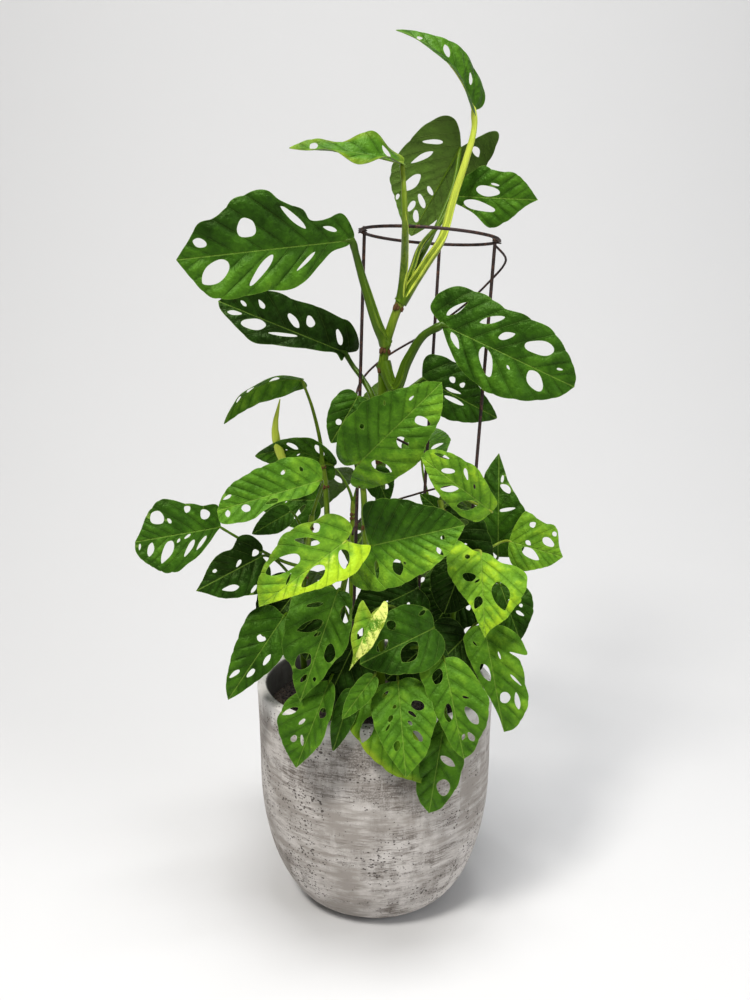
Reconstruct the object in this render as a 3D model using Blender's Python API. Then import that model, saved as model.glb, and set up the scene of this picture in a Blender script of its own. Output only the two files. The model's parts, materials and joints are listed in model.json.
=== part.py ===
"""A climbing monstera with pierced leaves in a rough round pot, with a wire cage standing in the soil."""

import math
import random
from collections import namedtuple

import bmesh
import bpy
from mathutils import Vector
from mathutils.geometry import delaunay_2d_cdt

MM = 0.001
GAP = 0.3 * MM

# The pot: a flat foot, a belly that rises as a quarter ellipse, and a nearly upright wall.
POT_HEIGHT = 211 * MM
FOOT_RADIUS = 50 * MM
BELLY_RADIUS = 107.5 * MM
BELLY_HEIGHT = 130 * MM
RIM_RADIUS = 109 * MM
WALL = 9 * MM
FLOOR = 14 * MM
RIM_ROUND = 3 * MM
POT_SIDES = 32
BELLY_STEPS = 6

# The soil, and how deep the wire legs stand in it.
SOIL_TOP = 186 * MM
SOIL_DOME = 4 * MM
WIRE_DEPTH = 70 * MM

# The cage: a hoop on three legs, with a thinner wire wound round them.
HOOP_CENTRE = Vector((47.2, 15, 610)) * MM
HOOP_RADIUS = 56.3 * MM
HOOP_FRONT_RISE = 0.10
HOOP_LEFT_RISE = 0.075
HOOP_SIDES = 28
HOOP_WIRE = 1.4 * MM
LEG_WIRE = 1.5 * MM
LEG_OVER_HOOP = 4 * MM
CAGE_FOOT = Vector((27, 0, 186)) * MM
CAGE_FOOT_RADIUS = 49 * MM
SPIRAL_WIRE = 1.0 * MM
SPIRAL_START = -30
SPIRAL_STEP = 15
SPIRAL_UNDER_HOOP = 3 * MM
SPIRAL_HEIGHTS = (587, 520, 472, 434, 400, 371, 347)
SPIRAL_BOW = 0.13
SPIRAL_BOW_BEARING = -4
SPIRAL_BOW_SPREAD = 20
LEG_BEARINGS = {"left": 180, "right": 0, "back": 78}

# The eye that the sight lines start from, looking along +Y and down, and its 750 by 1000 view.
EYE = Vector((0, -967, 600)) * MM
EYE_TILT = math.radians(12.8)
FOCAL = 1110
VIEW_CENTRE = (375, 500)

# The blades.
BLADE = 0.8 * MM
LARGE_BLADE = 56
SMALL_BLADE = 30
VEIN_SLANT = 0.7
VEIN_TURN = 1.1
HOLE_SPREAD = 1.25
FOLD_ROUND = 0.02
WAVES = 11
LEFT_WAVE_LEAD = 1.7
STALK_END = 0.7 * MM

Leaf = namedtuple(
    "Leaf",
    "base tip width root left right route stalk roll twist arch sweep fold curl wave under face lean belly"
    " full lobe edge holes",
    defaults=(
        0.5, (), (), (), (1.7, 1.0), 0, 0, 0.08, 0, 0.16, 0.06, 0.018, False, None, 1.0, (0.36, 0.36),
        0.7, 0.26, (), (),
    ),
)
Stem = namedtuple("Stem", "name cane radius leaves extras", defaults=((),))


def at(px, py, depth):
    """The point of the view's sight line through (px, py) that lies depth millimetres behind the axis."""
    across = (px - VIEW_CENTRE[0]) / FOCAL
    down = (py - VIEW_CENTRE[1]) / FOCAL
    ahead = math.cos(EYE_TILT) - down * math.sin(EYE_TILT)
    fall = -math.sin(EYE_TILT) - down * math.cos(EYE_TILT)
    reach = (depth * MM - EYE.y) / ahead
    return EYE + Vector((across, ahead, fall)) * reach


def around(bearing, radius, height):
    """A point round the pot's axis: bearing in degrees from +X, radius and height in millimetres."""
    turn = math.radians(bearing)
    return Vector((radius * math.cos(turn), radius * math.sin(turn), height)) * MM


def smooth_path(points, steps):
    """Points along a smooth curve through the given ones, with steps between each two."""
    ends = [points[0] * 2 - points[1]] + list(points) + [points[-1] * 2 - points[-2]]
    path = []
    for a, b, c, d in zip(ends, ends[1:], ends[2:], ends[3:]):
        for step in range(steps):
            t = step / steps
            path.append(
                b + (c - a) * (t / 2) + (a * 2 - b * 5 + c * 4 - d) * (t * t / 2)
                + (b * 3 - a - c * 3 + d) * (t ** 3 / 2)
            )
    return path + [points[-1]]


def along(path, share):
    """The point at a share of a path's points."""
    place = share * (len(path) - 1)
    low = min(int(place), len(path) - 2)
    return path[low].lerp(path[low + 1], place - low)


def mesh_object(name, mesh):
    obj = bpy.data.objects.new(name, mesh)
    bpy.context.scene.collection.objects.link(obj)
    return obj


def evaluated_mesh(obj):
    """The mesh that an object shows, with its modifiers, as plain data."""
    bpy.context.view_layer.update()
    shown = obj.evaluated_get(bpy.context.evaluated_depsgraph_get())
    return bpy.data.meshes.new_from_object(shown)


def remove_object(obj):
    bpy.data.objects.remove(obj, do_unlink=True)


def tube(name, path, radii, side_level=1):
    """A closed tube along a path, with a radius at each point and 4 + 2 * side_level sides."""
    curve = bpy.data.curves.new(name, "CURVE")
    curve.dimensions = "3D"
    curve.bevel_depth = 1.0
    curve.bevel_resolution = side_level
    curve.use_fill_caps = True
    spline = curve.splines.new("POLY")
    spline.points.add(len(path) - 1)
    for point, place, radius in zip(spline.points, path, radii):
        point.co = (*place, 1)
        point.radius = radius
    curve_object = mesh_object(name + "_path", curve)
    mesh = evaluated_mesh(curve_object)
    remove_object(curve_object)
    close_mesh(mesh)
    return mesh_object(name, mesh)


def close_mesh(mesh):
    """Welds a mesh's seams and turns its faces outward."""
    form = bmesh.new()
    form.from_mesh(mesh)
    bmesh.ops.remove_doubles(form, verts=form.verts, dist=1e-6)
    bmesh.ops.recalc_face_normals(form, faces=form.faces)
    form.to_mesh(mesh)
    form.free()


def tapered(count, first, last):
    return [first + (last - first) * k / (count - 1) for k in range(count)]


def plain_material(name, colour, roughness, metallic=0.0):
    material = bpy.data.materials.new(name)
    material.use_nodes = True
    shader = material.node_tree.nodes["Principled BSDF"]
    shader.inputs["Base Color"].default_value = (*colour, 1)
    shader.inputs["Roughness"].default_value = roughness
    shader.inputs["Metallic"].default_value = metallic
    return material


def give(obj, material):
    obj.data.materials.clear()
    obj.data.materials.append(material)


# Pot and soil

def outer_radius(height):
    """The pot's outer radius at a height."""
    if height < BELLY_HEIGHT:
        rise = 1 - height / BELLY_HEIGHT
        return FOOT_RADIUS + (BELLY_RADIUS - FOOT_RADIUS) * math.sqrt(1 - rise * rise)
    rise = (height - BELLY_HEIGHT) / (POT_HEIGHT - BELLY_HEIGHT)
    return BELLY_RADIUS + (RIM_RADIUS - BELLY_RADIUS) * rise * rise


def belly_heights(low, high):
    """Heights up the wall, close together where the belly turns."""
    turns = [BELLY_HEIGHT * (1 - math.cos(math.pi / 2 * k / BELLY_STEPS)) for k in range(BELLY_STEPS + 1)]
    inside = [height for height in turns if low < height < high]
    return [low] + inside + [high]


def spun(name, profile):
    """A closed body of revolution from a profile that starts and ends on the axis."""
    form = bmesh.new()
    verts = [form.verts.new((radius, 0, height)) for radius, height in profile]
    edges = [form.edges.new(pair) for pair in zip(verts, verts[1:])]
    bmesh.ops.spin(form, geom=verts + edges, cent=(0, 0, 0), axis=(0, 0, 1), angle=math.tau,
                   steps=POT_SIDES, use_merge=True)
    mesh = bpy.data.meshes.new(name)
    form.to_mesh(mesh)
    form.free()
    close_mesh(mesh)
    return mesh_object(name, mesh)


def pot():
    rim = POT_HEIGHT - RIM_ROUND
    outside = [(outer_radius(height), height) for height in belly_heights(0, rim)]
    inside = [(outer_radius(height) - WALL, height) for height in belly_heights(FLOOR, rim)]
    crest = [(RIM_RADIUS - RIM_ROUND, POT_HEIGHT), (RIM_RADIUS - WALL + RIM_ROUND, POT_HEIGHT)]
    profile = [(0, 0)] + outside + crest + inside[::-1] + [(0, FLOOR)]
    obj = spun("pot", profile)
    give(obj, plain_material("rough_concrete", (0.47, 0.44, 0.41), 0.9))
    return obj


def soil(stands):
    """The filling, with a plain hole for each stem and wire that stands in it."""
    floor = FLOOR + GAP
    bottom, *between, top = belly_heights(floor, SOIL_TOP)
    wall = [(outer_radius(height) - WALL - GAP, height) for height in (bottom, *between[::2], top)]
    dome = [(0.5 * RIM_RADIUS, SOIL_TOP + 0.8 * SOIL_DOME), (0, SOIL_TOP + SOIL_DOME)]
    obj = spun("soil", [(0, floor)] + wall + dome)
    holes = bpy.data.collections.new("stem_holes")
    for name, path, radius in stands:
        cutter = tube("hole_" + name, path, [radius + 2 * GAP] * len(path))
        move_to(cutter, holes)
    cut = obj.modifiers.new("holes", "BOOLEAN")
    cut.operation = "DIFFERENCE"
    cut.operand_type = "COLLECTION"
    cut.collection = holes
    apply_and_clear(obj, holes)
    give(obj, plain_material("dark_soil", (0.035, 0.024, 0.017), 0.95))
    return obj


def move_to(obj, collection):
    bpy.context.scene.collection.objects.unlink(obj)
    collection.objects.link(obj)


def apply_and_clear(obj, collection):
    """Applies an object's modifiers and removes the collection that they used."""
    obj.data = evaluated_mesh(obj)
    obj.modifiers.clear()
    for member in list(collection.objects):
        remove_object(member)
    bpy.data.collections.remove(collection)


# Wire cage

def hoop_point(bearing, radius=HOOP_RADIUS):
    """A point on the tilted hoop, bearing in degrees from +X."""
    turn = math.radians(bearing)
    across = radius * math.cos(turn)
    back = radius * math.sin(turn)
    lift = -HOOP_FRONT_RISE * back - HOOP_LEFT_RISE * across
    return HOOP_CENTRE + Vector((across, back, lift))


def cage_foot(bearing, radius=CAGE_FOOT_RADIUS):
    turn = math.radians(bearing)
    return CAGE_FOOT + Vector((math.cos(turn), math.sin(turn), 0)) * radius


def wire_hoop():
    sagitta = HOOP_RADIUS * (1 - math.cos(math.pi / HOOP_SIDES))
    inset = LEG_WIRE + HOOP_WIRE + GAP + sagitta
    curve = bpy.data.curves.new("wire_hoop", "CURVE")
    curve.dimensions = "3D"
    curve.bevel_depth = HOOP_WIRE
    curve.bevel_resolution = 1
    spline = curve.splines.new("POLY")
    places = [hoop_point(360 * k / HOOP_SIDES, HOOP_RADIUS + inset) for k in range(HOOP_SIDES)]
    spline.points.add(len(places) - 1)
    for point, place in zip(spline.points, places):
        point.co = (*place, 1)
    spline.use_cyclic_u = True
    path = mesh_object("wire_hoop_path", curve)
    mesh = evaluated_mesh(path)
    remove_object(path)
    close_mesh(mesh)
    return mesh_object("wire_hoop", mesh)


def leg_path(bearing):
    """A leg from under the soil to just above the hoop, inside the hoop's wire."""
    top = hoop_point(bearing)
    foot = cage_foot(bearing)
    direction = (top - foot).normalized()
    return [foot - direction * WIRE_DEPTH, foot.lerp(top, 0.5), top + direction * LEG_OVER_HOOP]


def spiral_path():
    """The thin wire that leaves the right leg's top, bows out and winds down behind and round the legs."""
    clear = LEG_WIRE + SPIRAL_WIRE + 2 * GAP
    last = 90 * (len(SPIRAL_HEIGHTS) - 1)
    start = hoop_point(0).z - SPIRAL_UNDER_HOOP
    path = []
    for bearing in range(SPIRAL_START, last + 1, SPIRAL_STEP):
        quarter = max(bearing, 0) / 90
        low = min(int(quarter), len(SPIRAL_HEIGHTS) - 2)
        step = SPIRAL_HEIGHTS[low + 1] - SPIRAL_HEIGHTS[low]
        height = (SPIRAL_HEIGHTS[low] + step * (quarter - low)) * MM
        if bearing < 0:
            height += (start - height) * bearing / SPIRAL_START
        top, foot = hoop_point(bearing), cage_foot(bearing)
        share = (top.z - height) / (top.z - foot.z)
        middle = HOOP_CENTRE.lerp(CAGE_FOOT, share)
        spoke = top.lerp(foot, share) - middle
        spoke.z = 0
        bow = 1 + SPIRAL_BOW * math.exp(-((bearing - SPIRAL_BOW_BEARING) / SPIRAL_BOW_SPREAD) ** 2)
        place = middle + spoke * bow + spoke.normalized() * clear
        place.z = height
        path.append(place)
    return path


def wires():
    steel = plain_material("rusty_wire", (0.06, 0.032, 0.02), 0.65, 0.6)
    pieces = [wire_hoop()]
    for name, bearing in LEG_BEARINGS.items():
        path = leg_path(bearing)
        pieces.append(tube("wire_leg_" + name, path, [LEG_WIRE] * len(path)))
    path = spiral_path()
    pieces.append(tube("wire_spiral", path, [SPIRAL_WIRE] * len(path), 0))
    for piece in pieces:
        give(piece, steel)
    return pieces


# Leaves

def half_breadth(t, belly, full):
    """A blade's half breadth at a station along it, as a share of the widest, which is at belly."""
    t = min(max(t, 0), 1)
    bend = math.log(0.5) / math.log(belly)
    return math.sin(math.pi * t ** bend) ** full * (1 - 0.15 * t ** 5)


def margin_point(leaf, t, half, belly):
    """A point on one side of the blade's edge, in blade lengths: along and across."""
    breadth = half_breadth(t, belly, leaf.full)
    return t - leaf.lobe * breadth * (1 - t) ** 5 * 2 * half, half * breadth


def vein_point(leaf, t, share, half, belly):
    """A point at a share of the way out along the side vein that leaves the midrib at t."""
    slant = VEIN_SLANT + VEIN_TURN * t
    reach = half * 0.8
    for _ in range(5):
        reach = half * half_breadth(t + slant * reach, belly, leaf.full)
    return t + slant * share * reach, share * reach


def blade_edge(leaf, half, steps):
    """The flat outline: from the base along the left side to the tip and back along the right."""
    if leaf.edge:
        return [(0, 0), *leaf.edge]
    stations = [0.5 - 0.5 * math.cos(math.pi * k / steps) for k in range(steps + 1)]
    left_edge = [margin_point(leaf, t, half * leaf.lean, leaf.belly[0]) for t in stations]
    right_edge = [margin_point(leaf, t, half, leaf.belly[1]) for t in stations[-2:0:-1]]
    return left_edge + [(x, -y) for x, y in right_edge]


def hole_ends(leaf, half):
    """Both ends and the breadth of each hole: placed ones, and ones between the side veins."""
    ends = list(leaf.holes)
    sides = ((leaf.left, 1, half * leaf.lean, leaf.belly[0]), (leaf.right, -1, half, leaf.belly[1]))
    for holes, side, reach, belly in sides:
        for t, inner, outer, breadth in holes:
            ax, ay = vein_point(leaf, t, inner, reach, belly)
            bx, by = vein_point(leaf, t, outer, reach, belly)
            ends.append((ax, side * ay, bx, side * by, breadth))
    return ends


def oval(ax, ay, bx, by, breadth, corners):
    """An oval hole from one end to the other."""
    length = math.hypot(bx - ax, by - ay)
    ux, uy = (bx - ax) / length, (by - ay) / length
    loop = []
    for k in range(corners):
        turn = math.tau * k / corners
        run = length / 2 * math.cos(turn)
        out = HOLE_SPREAD * breadth / 2 * math.sin(turn)
        loop.append(((ax + bx) / 2 + run * ux - out * uy, (ay + by) / 2 + run * uy + out * ux))
    return loop


def blade_plan(leaf, half):
    """The flat outline, holes and midrib of a blade, triangulated, in blade lengths."""
    large = leaf.width >= LARGE_BLADE
    steps = 8 if large else 5 if leaf.width < SMALL_BLADE else 7
    corners = 6 if large else 5
    midrib = (0.16, 0.36, 0.58, 0.8) if large else (0.2, 0.45, 0.72)
    loops = [blade_edge(leaf, half, steps)] + [oval(*hole, corners) for hole in hole_ends(leaf, half)]
    points, edges = [], []
    for ring in loops:
        first = len(points)
        points += ring
        edges += [(first + k, first + (k + 1) % len(ring)) for k in range(len(ring))]
    points += [(x, 0) for x in midrib]
    spots, _, triangles, *_ = delaunay_2d_cdt([Vector(point) for point in points], edges, [], 1, 1e-6)
    faces = []
    for triangle in triangles:
        middle = sum((spots[v] for v in triangle), Vector((0, 0))) / 3
        if within(loops[0], middle) and not any(within(ring, middle) for ring in loops[1:]):
            faces.append(triangle)
    used = sorted({v for face in faces for v in face})
    order = {v: k for k, v in enumerate(used)}
    return [spots[v] for v in used], [[order[v] for v in face] for face in faces]


def within(ring, point):
    """Whether a flat ring holds a point."""
    inside = False
    for (ax, ay), (bx, by) in zip(ring, ring[1:] + ring[:1]):
        if (ay > point.y) != (by > point.y) and point.x < ax + (bx - ax) * (point.y - ay) / (by - ay):
            inside = not inside
    return inside


def leaf_frame(leaf):
    """Unit vectors along the blade, to its left as seen, and towards the side that faces out."""
    run = leaf.tip - leaf.base
    forward = run.normalized()
    middle = leaf.base.lerp(leaf.tip, 0.5)
    face = leaf.face if leaf.face else EYE - middle
    normal = (face - forward * face.dot(forward)).normalized()
    return run.length, forward, normal.cross(forward), normal


def blade_point(leaf, x, y):
    """The place in space of a point of the flat blade: arched, folded along the midrib and waved."""
    length, forward, left, normal = leaf_frame(leaf)
    half = leaf.width * MM / 2 / length
    share = y / half
    lead = LEFT_WAVE_LEAD if y > 0 else 0
    wave = leaf.wave * share * share * math.sin(WAVES * x + lead + leaf.width)
    lift = leaf.fold * (math.hypot(y, FOLD_ROUND) - FOLD_ROUND)
    height = lift - leaf.curl * share * share * half * 2 + wave
    bulge = leaf.arch * 4 * x * (1 - x)
    if leaf.under:
        height, bulge = -height, -bulge
    turn = math.radians(leaf.roll + leaf.twist * (x - 0.5))
    across = y * math.cos(turn) - height * math.sin(turn) + leaf.sweep * 4 * x * (1 - x)
    out = y * math.sin(turn) + height * math.cos(turn) + bulge
    return leaf.base + (forward * x + left * across + normal * out) * length


def blade(name, leaf):
    half = leaf.width * MM / 2 / (leaf.tip - leaf.base).length
    points, triangles = blade_plan(leaf, half)
    mesh = bpy.data.meshes.new(name)
    mesh.from_pydata([blade_point(leaf, *point) for point in points], [], triangles)
    sheet = mesh_object(name, mesh)
    thick = sheet.modifiers.new("thickness", "SOLIDIFY")
    thick.thickness = BLADE
    thick.offset = 0
    sheet.data = evaluated_mesh(sheet)
    sheet.modifiers.clear()
    form = bmesh.new()
    form.from_mesh(sheet.data)
    bmesh.ops.triangulate(form, faces=form.faces)
    bmesh.ops.recalc_face_normals(form, faces=form.faces)
    form.to_mesh(sheet.data)
    form.free()
    return sheet


def petiole_path(cane, leaf):
    """From the cane to the blade's base, and a little way in along the midrib."""
    root = along(cane, leaf.root)
    sunk = [blade_point(leaf, x, 0) for x in (0.01, 0.13)]
    if leaf.route:
        return smooth_path([root, *leaf.route, sunk[0]], 2) + sunk[1:]
    length, forward, left, normal = leaf_frame(leaf)
    reach = (sunk[0] - root).length
    heading = (along(cane, min(leaf.root + 0.05, 1)) - along(cane, leaf.root - 0.05)).normalized()
    first = root + heading * (0.35 * reach)
    last = sunk[0] - (normal * 0.8 + forward * 0.6).normalized() * (0.3 * reach)
    path = []
    for k in range(3):
        t = k / 2.5
        near, mid, far = root.lerp(first, t), first.lerp(last, t), last.lerp(sunk[0], t)
        path.append(near.lerp(mid, t).lerp(mid.lerp(far, t), t))
    return path + sunk[1:]


def spear(name, path, radius):
    """A young leaf, still rolled up: a thin tube, widest a third of the way up."""
    bellies = (0.45, 0.8, 1.0, 0.9, 0.55, 0.12)
    points = [along(path, k / 5) for k in range(6)]
    return tube(name, points, [radius * MM * belly for belly in bellies])


def cane_path(stem):
    return smooth_path(stem.cane, 2)


def standing_run(path, count):
    """The lowest run of a path, let a little further into the soil."""
    deeper = path[0] - (path[1] - path[0]).normalized() * (2 * GAP)
    return [deeper] + path[1:count]


def leafy_stem(stem, material):
    """One cane with its petioles, blades and rolled leaves, joined into one body."""
    cane = cane_path(stem)
    body = tube(stem.name, cane, tapered(len(cane), stem.radius * MM, 0.7 * stem.radius * MM))
    growth = bpy.data.collections.new(stem.name + "_growth")
    for number, leaf in enumerate(stem.leaves):
        label = f"{stem.name}_{number}"
        move_to(blade(label + "_blade", leaf), growth)
        path = petiole_path(cane, leaf)
        radii = tapered(len(path) - 1, *(radius * MM for radius in leaf.stalk)) + [STALK_END]
        move_to(tube(label + "_petiole", path, radii, 1 if leaf.stalk[0] > 4 else 0), growth)
    for number, (path, radius) in enumerate(stem.extras):
        move_to(spear(f"{stem.name}_spear_{number}", path, radius), growth)
    join = body.modifiers.new("join", "BOOLEAN")
    join.operation = "UNION"
    join.operand_type = "COLLECTION"
    join.collection = growth
    join.solver = "MANIFOLD"
    apply_and_clear(body, growth)
    give(body, material)
    return body


def pierced(seed, count=4, size=1.0):
    """Holes for one side of a blade, one between each two side veins, from a seeded draw."""
    draw = random.Random(seed)
    holes = []
    for k in range(count):
        t = 0.10 + 0.66 * k / max(count - 1, 1) + draw.uniform(-0.02, 0.02)
        inner = draw.uniform(0.18, 0.3)
        outer = draw.uniform(0.62, 0.78)
        holes.append((t, inner, outer, size * draw.uniform(0.04, 0.09)))
    return tuple(holes)


def tall_stem():
    cane = [
        Vector((5, 14, 150)) * MM, Vector((5, 14, 196)) * MM, Vector((4, 10, 330)) * MM,
        at(382.5, 400, 2), at(384, 355, 0), at(392, 324, 0), at(402, 298, 0),
    ]
    leaves = [
        Leaf(
            base=at(474, 110, 0), tip=at(396, 30, -12), width=46, root=0.97, left=pierced(1, 2),
            right=pierced(2, 3),
            route=(at(424, 267, 0), at(442, 238, 0), at(453, 200, 0), at(466, 160, 0), at(474, 130, 0)),
            stalk=(4.6, 2.0), roll=66, fold=0.5, arch=0.10, sweep=-0.13, belly=(0.3, 0.25),
        ),
        Leaf(
            base=at(403, 163, -52), tip=at(289, 148, -66), width=36, root=0.98, left=pierced(3, 2),
            right=pierced(4, 2), route=(at(404, 262, -16), at(405, 225, -54), at(404, 190, -58)),
            stalk=(3.6, 1.6), roll=64, fold=0.45, arch=0.06, sweep=-0.03,
        ),
        Leaf(
            base=at(461, 147, 46), tip=at(411, 236, 62), width=92, root=0.95,
            route=(at(415, 268, 8), at(430, 240, 22), at(452, 190, 34)), stalk=(2.8, 1.4),
            under=True, lean=0.6, belly=(0.2, 0.45), lobe=0.85,
            holes=(
                (-0.07, 0.11, 0, 0.2, 0.06), (0.05, -0.18, 0.15, -0.36, 0.039),
                (0.18, -0.22, 0.39, -0.36, 0.049), (0.44, -0.22, 0.65, -0.29, 0.09),
                (0.61, -0.14, 0.7, -0.02, 0.049), (0.69, -0.14, 0.81, -0.15, 0.05),
                (0.71, -0.32, 0.77, -0.31, 0.031), (0.76, -0.09, 0.86, -0.02, 0.05),
            ),
        ),
        Leaf(
            base=at(453, 196, 24), tip=at(538, 200, 8), width=48, root=0.93,
            route=(at(412, 270, 2), at(421, 246, 10), at(441, 222, 18)), stalk=(3.2, 1.6),
            edge=(
                (0.03, 0.11), (0.1, 0.21), (0.22, 0.28), (0.35, 0.35), (0.54, 0.31), (0.72, 0.3),
                (0.81, 0.23), (0.9, 0.13), (0.97, 0.04), (1, 0), (0.91, -0.05), (0.81, -0.13),
                (0.68, -0.25), (0.53, -0.33), (0.43, -0.32), (0.28, -0.2), (0.14, -0.13),
                (0.04, -0.08),
            ),
            holes=(
                (0.14, -0.06, 0.52, -0.14, 0.09), (0.28, 0.09, 0.56, 0.06, 0.1),
                (0.45, 0.16, 0.55, 0.14, 0.022),
            ),
        ),
        Leaf(
            base=at(354, 240, -22), tip=at(176, 260, -62), width=98, root=0.72,
            route=(at(377, 325, -6), at(366, 290, -10), at(358, 262, -14)), stalk=(4.8, 2.6),
            arch=0.05, fold=0.2,
            edge=(
                (0.05, 0.03), (0.14, 0.05), (0.22, 0.11), (0.32, 0.19), (0.41, 0.22), (0.64, 0.24),
                (0.79, 0.24), (0.87, 0.2), (0.94, 0.1), (1, 0), (0.92, -0.1), (0.86, -0.18),
                (0.75, -0.21), (0.66, -0.29), (0.57, -0.31), (0.47, -0.3), (0.41, -0.25),
                (0.29, -0.2), (0.25, -0.14), (0.18, -0.13), (0.06, -0.15), (0, -0.05),
            ),
            holes=(
                (0.1, -0.06, 0.18, -0.09, 0.022), (0.24, 0.04, 0.36, 0.13, 0.016),
                (0.28, -0.09, 0.41, -0.22, 0.03), (0.48, 0.03, 0.63, 0.18, 0.037),
                (0.65, -0.09, 0.57, -0.16, 0.09), (0.73, 0.04, 0.88, 0.14, 0.09),
                (0.83, -0.06, 0.9, -0.09, 0.042),
            ),
        ),
        Leaf(
            base=at(346, 353, 28), tip=at(218, 301, -4), width=58, root=0.46,
            route=(at(372, 396, 10), at(362, 378, 20), at(353, 366, 26)), stalk=(3.0, 2.0), roll=12,
            fold=0.4, arch=0.07,
            edge=(
                (0.02, 0.07), (0.08, 0.03), (0.19, 0.06), (0.36, 0.1), (0.58, 0.16), (0.71, 0.18),
                (0.82, 0.14), (0.96, 0.06), (1, 0), (0.92, -0.11), (0.8, -0.17), (0.65, -0.21),
                (0.49, -0.21), (0.33, -0.22), (0.17, -0.22), (0.07, -0.21), (-0.04, -0.13),
                (-0.08, -0.05),
            ),
            holes=(
                (0.06, -0.04, 0.14, -0.13, 0.037), (0.32, -0.08, 0.38, -0.14, 0.05),
                (0.4, 0.02, 0.61, 0.08, 0.022), (0.41, -0.04, 0.52, -0.1, 0.041),
                (0.64, 0.03, 0.81, 0.09, 0.07), (0.69, -0.07, 0.75, -0.11, 0.027),
                (0.81, -0.04, 0.86, -0.06, 0.02), (0.82, 0.02, 0.92, 0.05, 0.029),
            ),
        ),
        Leaf(
            base=at(441, 324, -24), tip=at(575, 387, -48), width=70, root=0.62,
            route=(at(395, 390, -8), at(407, 362, -14), at(422, 337, -20)), stalk=(5.4, 3.0),
            arch=0.07,
            edge=(
                (-0.11, 0.06), (-0.12, 0.13), (-0.09, 0.2), (0.01, 0.28), (0.21, 0.31),
                (0.39, 0.27), (0.53, 0.29), (0.7, 0.28), (0.86, 0.19), (0.97, 0.08), (1, 0),
                (0.94, -0.1), (0.83, -0.18), (0.71, -0.24), (0.58, -0.26), (0.43, -0.28),
                (0.25, -0.22), (0.12, -0.12),
            ),
            holes=(
                (0.01, 0.07, 0.11, 0.21, 0.041), (0.09, -0.02, 0.19, -0.1, 0.034),
                (0.24, 0.12, 0.38, 0.22, 0.04), (0.33, -0.02, 0.46, -0.18, 0.07),
                (0.4, 0.08, 0.49, 0.15, 0.04), (0.58, 0.11, 0.77, 0.16, 0.08),
                (0.68, -0.03, 0.81, -0.12, 0.08),
            ),
        ),
        Leaf(
            base=at(422, 378, 24), tip=at(497, 418, 24), width=44, root=0.5,
            route=(at(396, 400, 12), at(410, 388, 20)), stalk=(2.4, 1.4), lean=1.2,
            belly=(0.22, 0.4),
            holes=(
                (0.29, 0.03, 0.48, 0.05, 0.035), (0.3, 0.12, 0.33, 0.18, 0.07),
                (0.32, -0.06, 0.57, -0.05, 0.046),
            ),
        ),
    ]
    return Stem("stem_tall", cane, 5.2, leaves)


def left_back_stem():
    cane = [
        Vector((-40, 46, 150)) * MM, Vector((-40, 46, 196)) * MM, Vector((-44, 50, 300)) * MM,
        at(326, 490, 50), at(322, 462, 48),
    ]
    leaves = [
        Leaf(
            base=at(303, 380, 40), tip=at(224, 424, 30), width=34, root=0.98,
            route=(at(320, 440, 46), at(312, 407, 42)), stalk=(2.2, 1.2), roll=-56, fold=0.55,
            arch=0.1, sweep=-0.17,
            holes=((0.53, -0.16, 0.59, -0.02, 0.08), (0.69, -0.12, 0.75, -0.02, 0.06)),
        ),
        Leaf(
            base=at(334, 466, 54), tip=at(255, 456, 52), width=46, root=0.96, left=pierced(13, 2),
            right=pierced(14, 3), roll=-40, fold=0.4, arch=0.12, sweep=-0.12,
        ),
        Leaf(
            base=at(318, 500, 60), tip=at(256, 500, 74), width=52, root=0.8, left=pierced(15, 2),
            right=pierced(16, 2),
        ),
        Leaf(
            base=around(128, 70, 330), tip=around(132, 140, 300), width=54, root=0.6,
            left=pierced(17, 2), right=pierced(18, 2), face=Vector((-0.5, 0.6, 0.9)),
        ),
    ]
    rolled = smooth_path([at(300, 492, 48), at(282, 458, 44), at(275, 430, 42), at(280, 399, 40)], 3)
    return Stem("stem_left_back", cane, 3.4, leaves, ((rolled, 4.2),))


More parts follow.
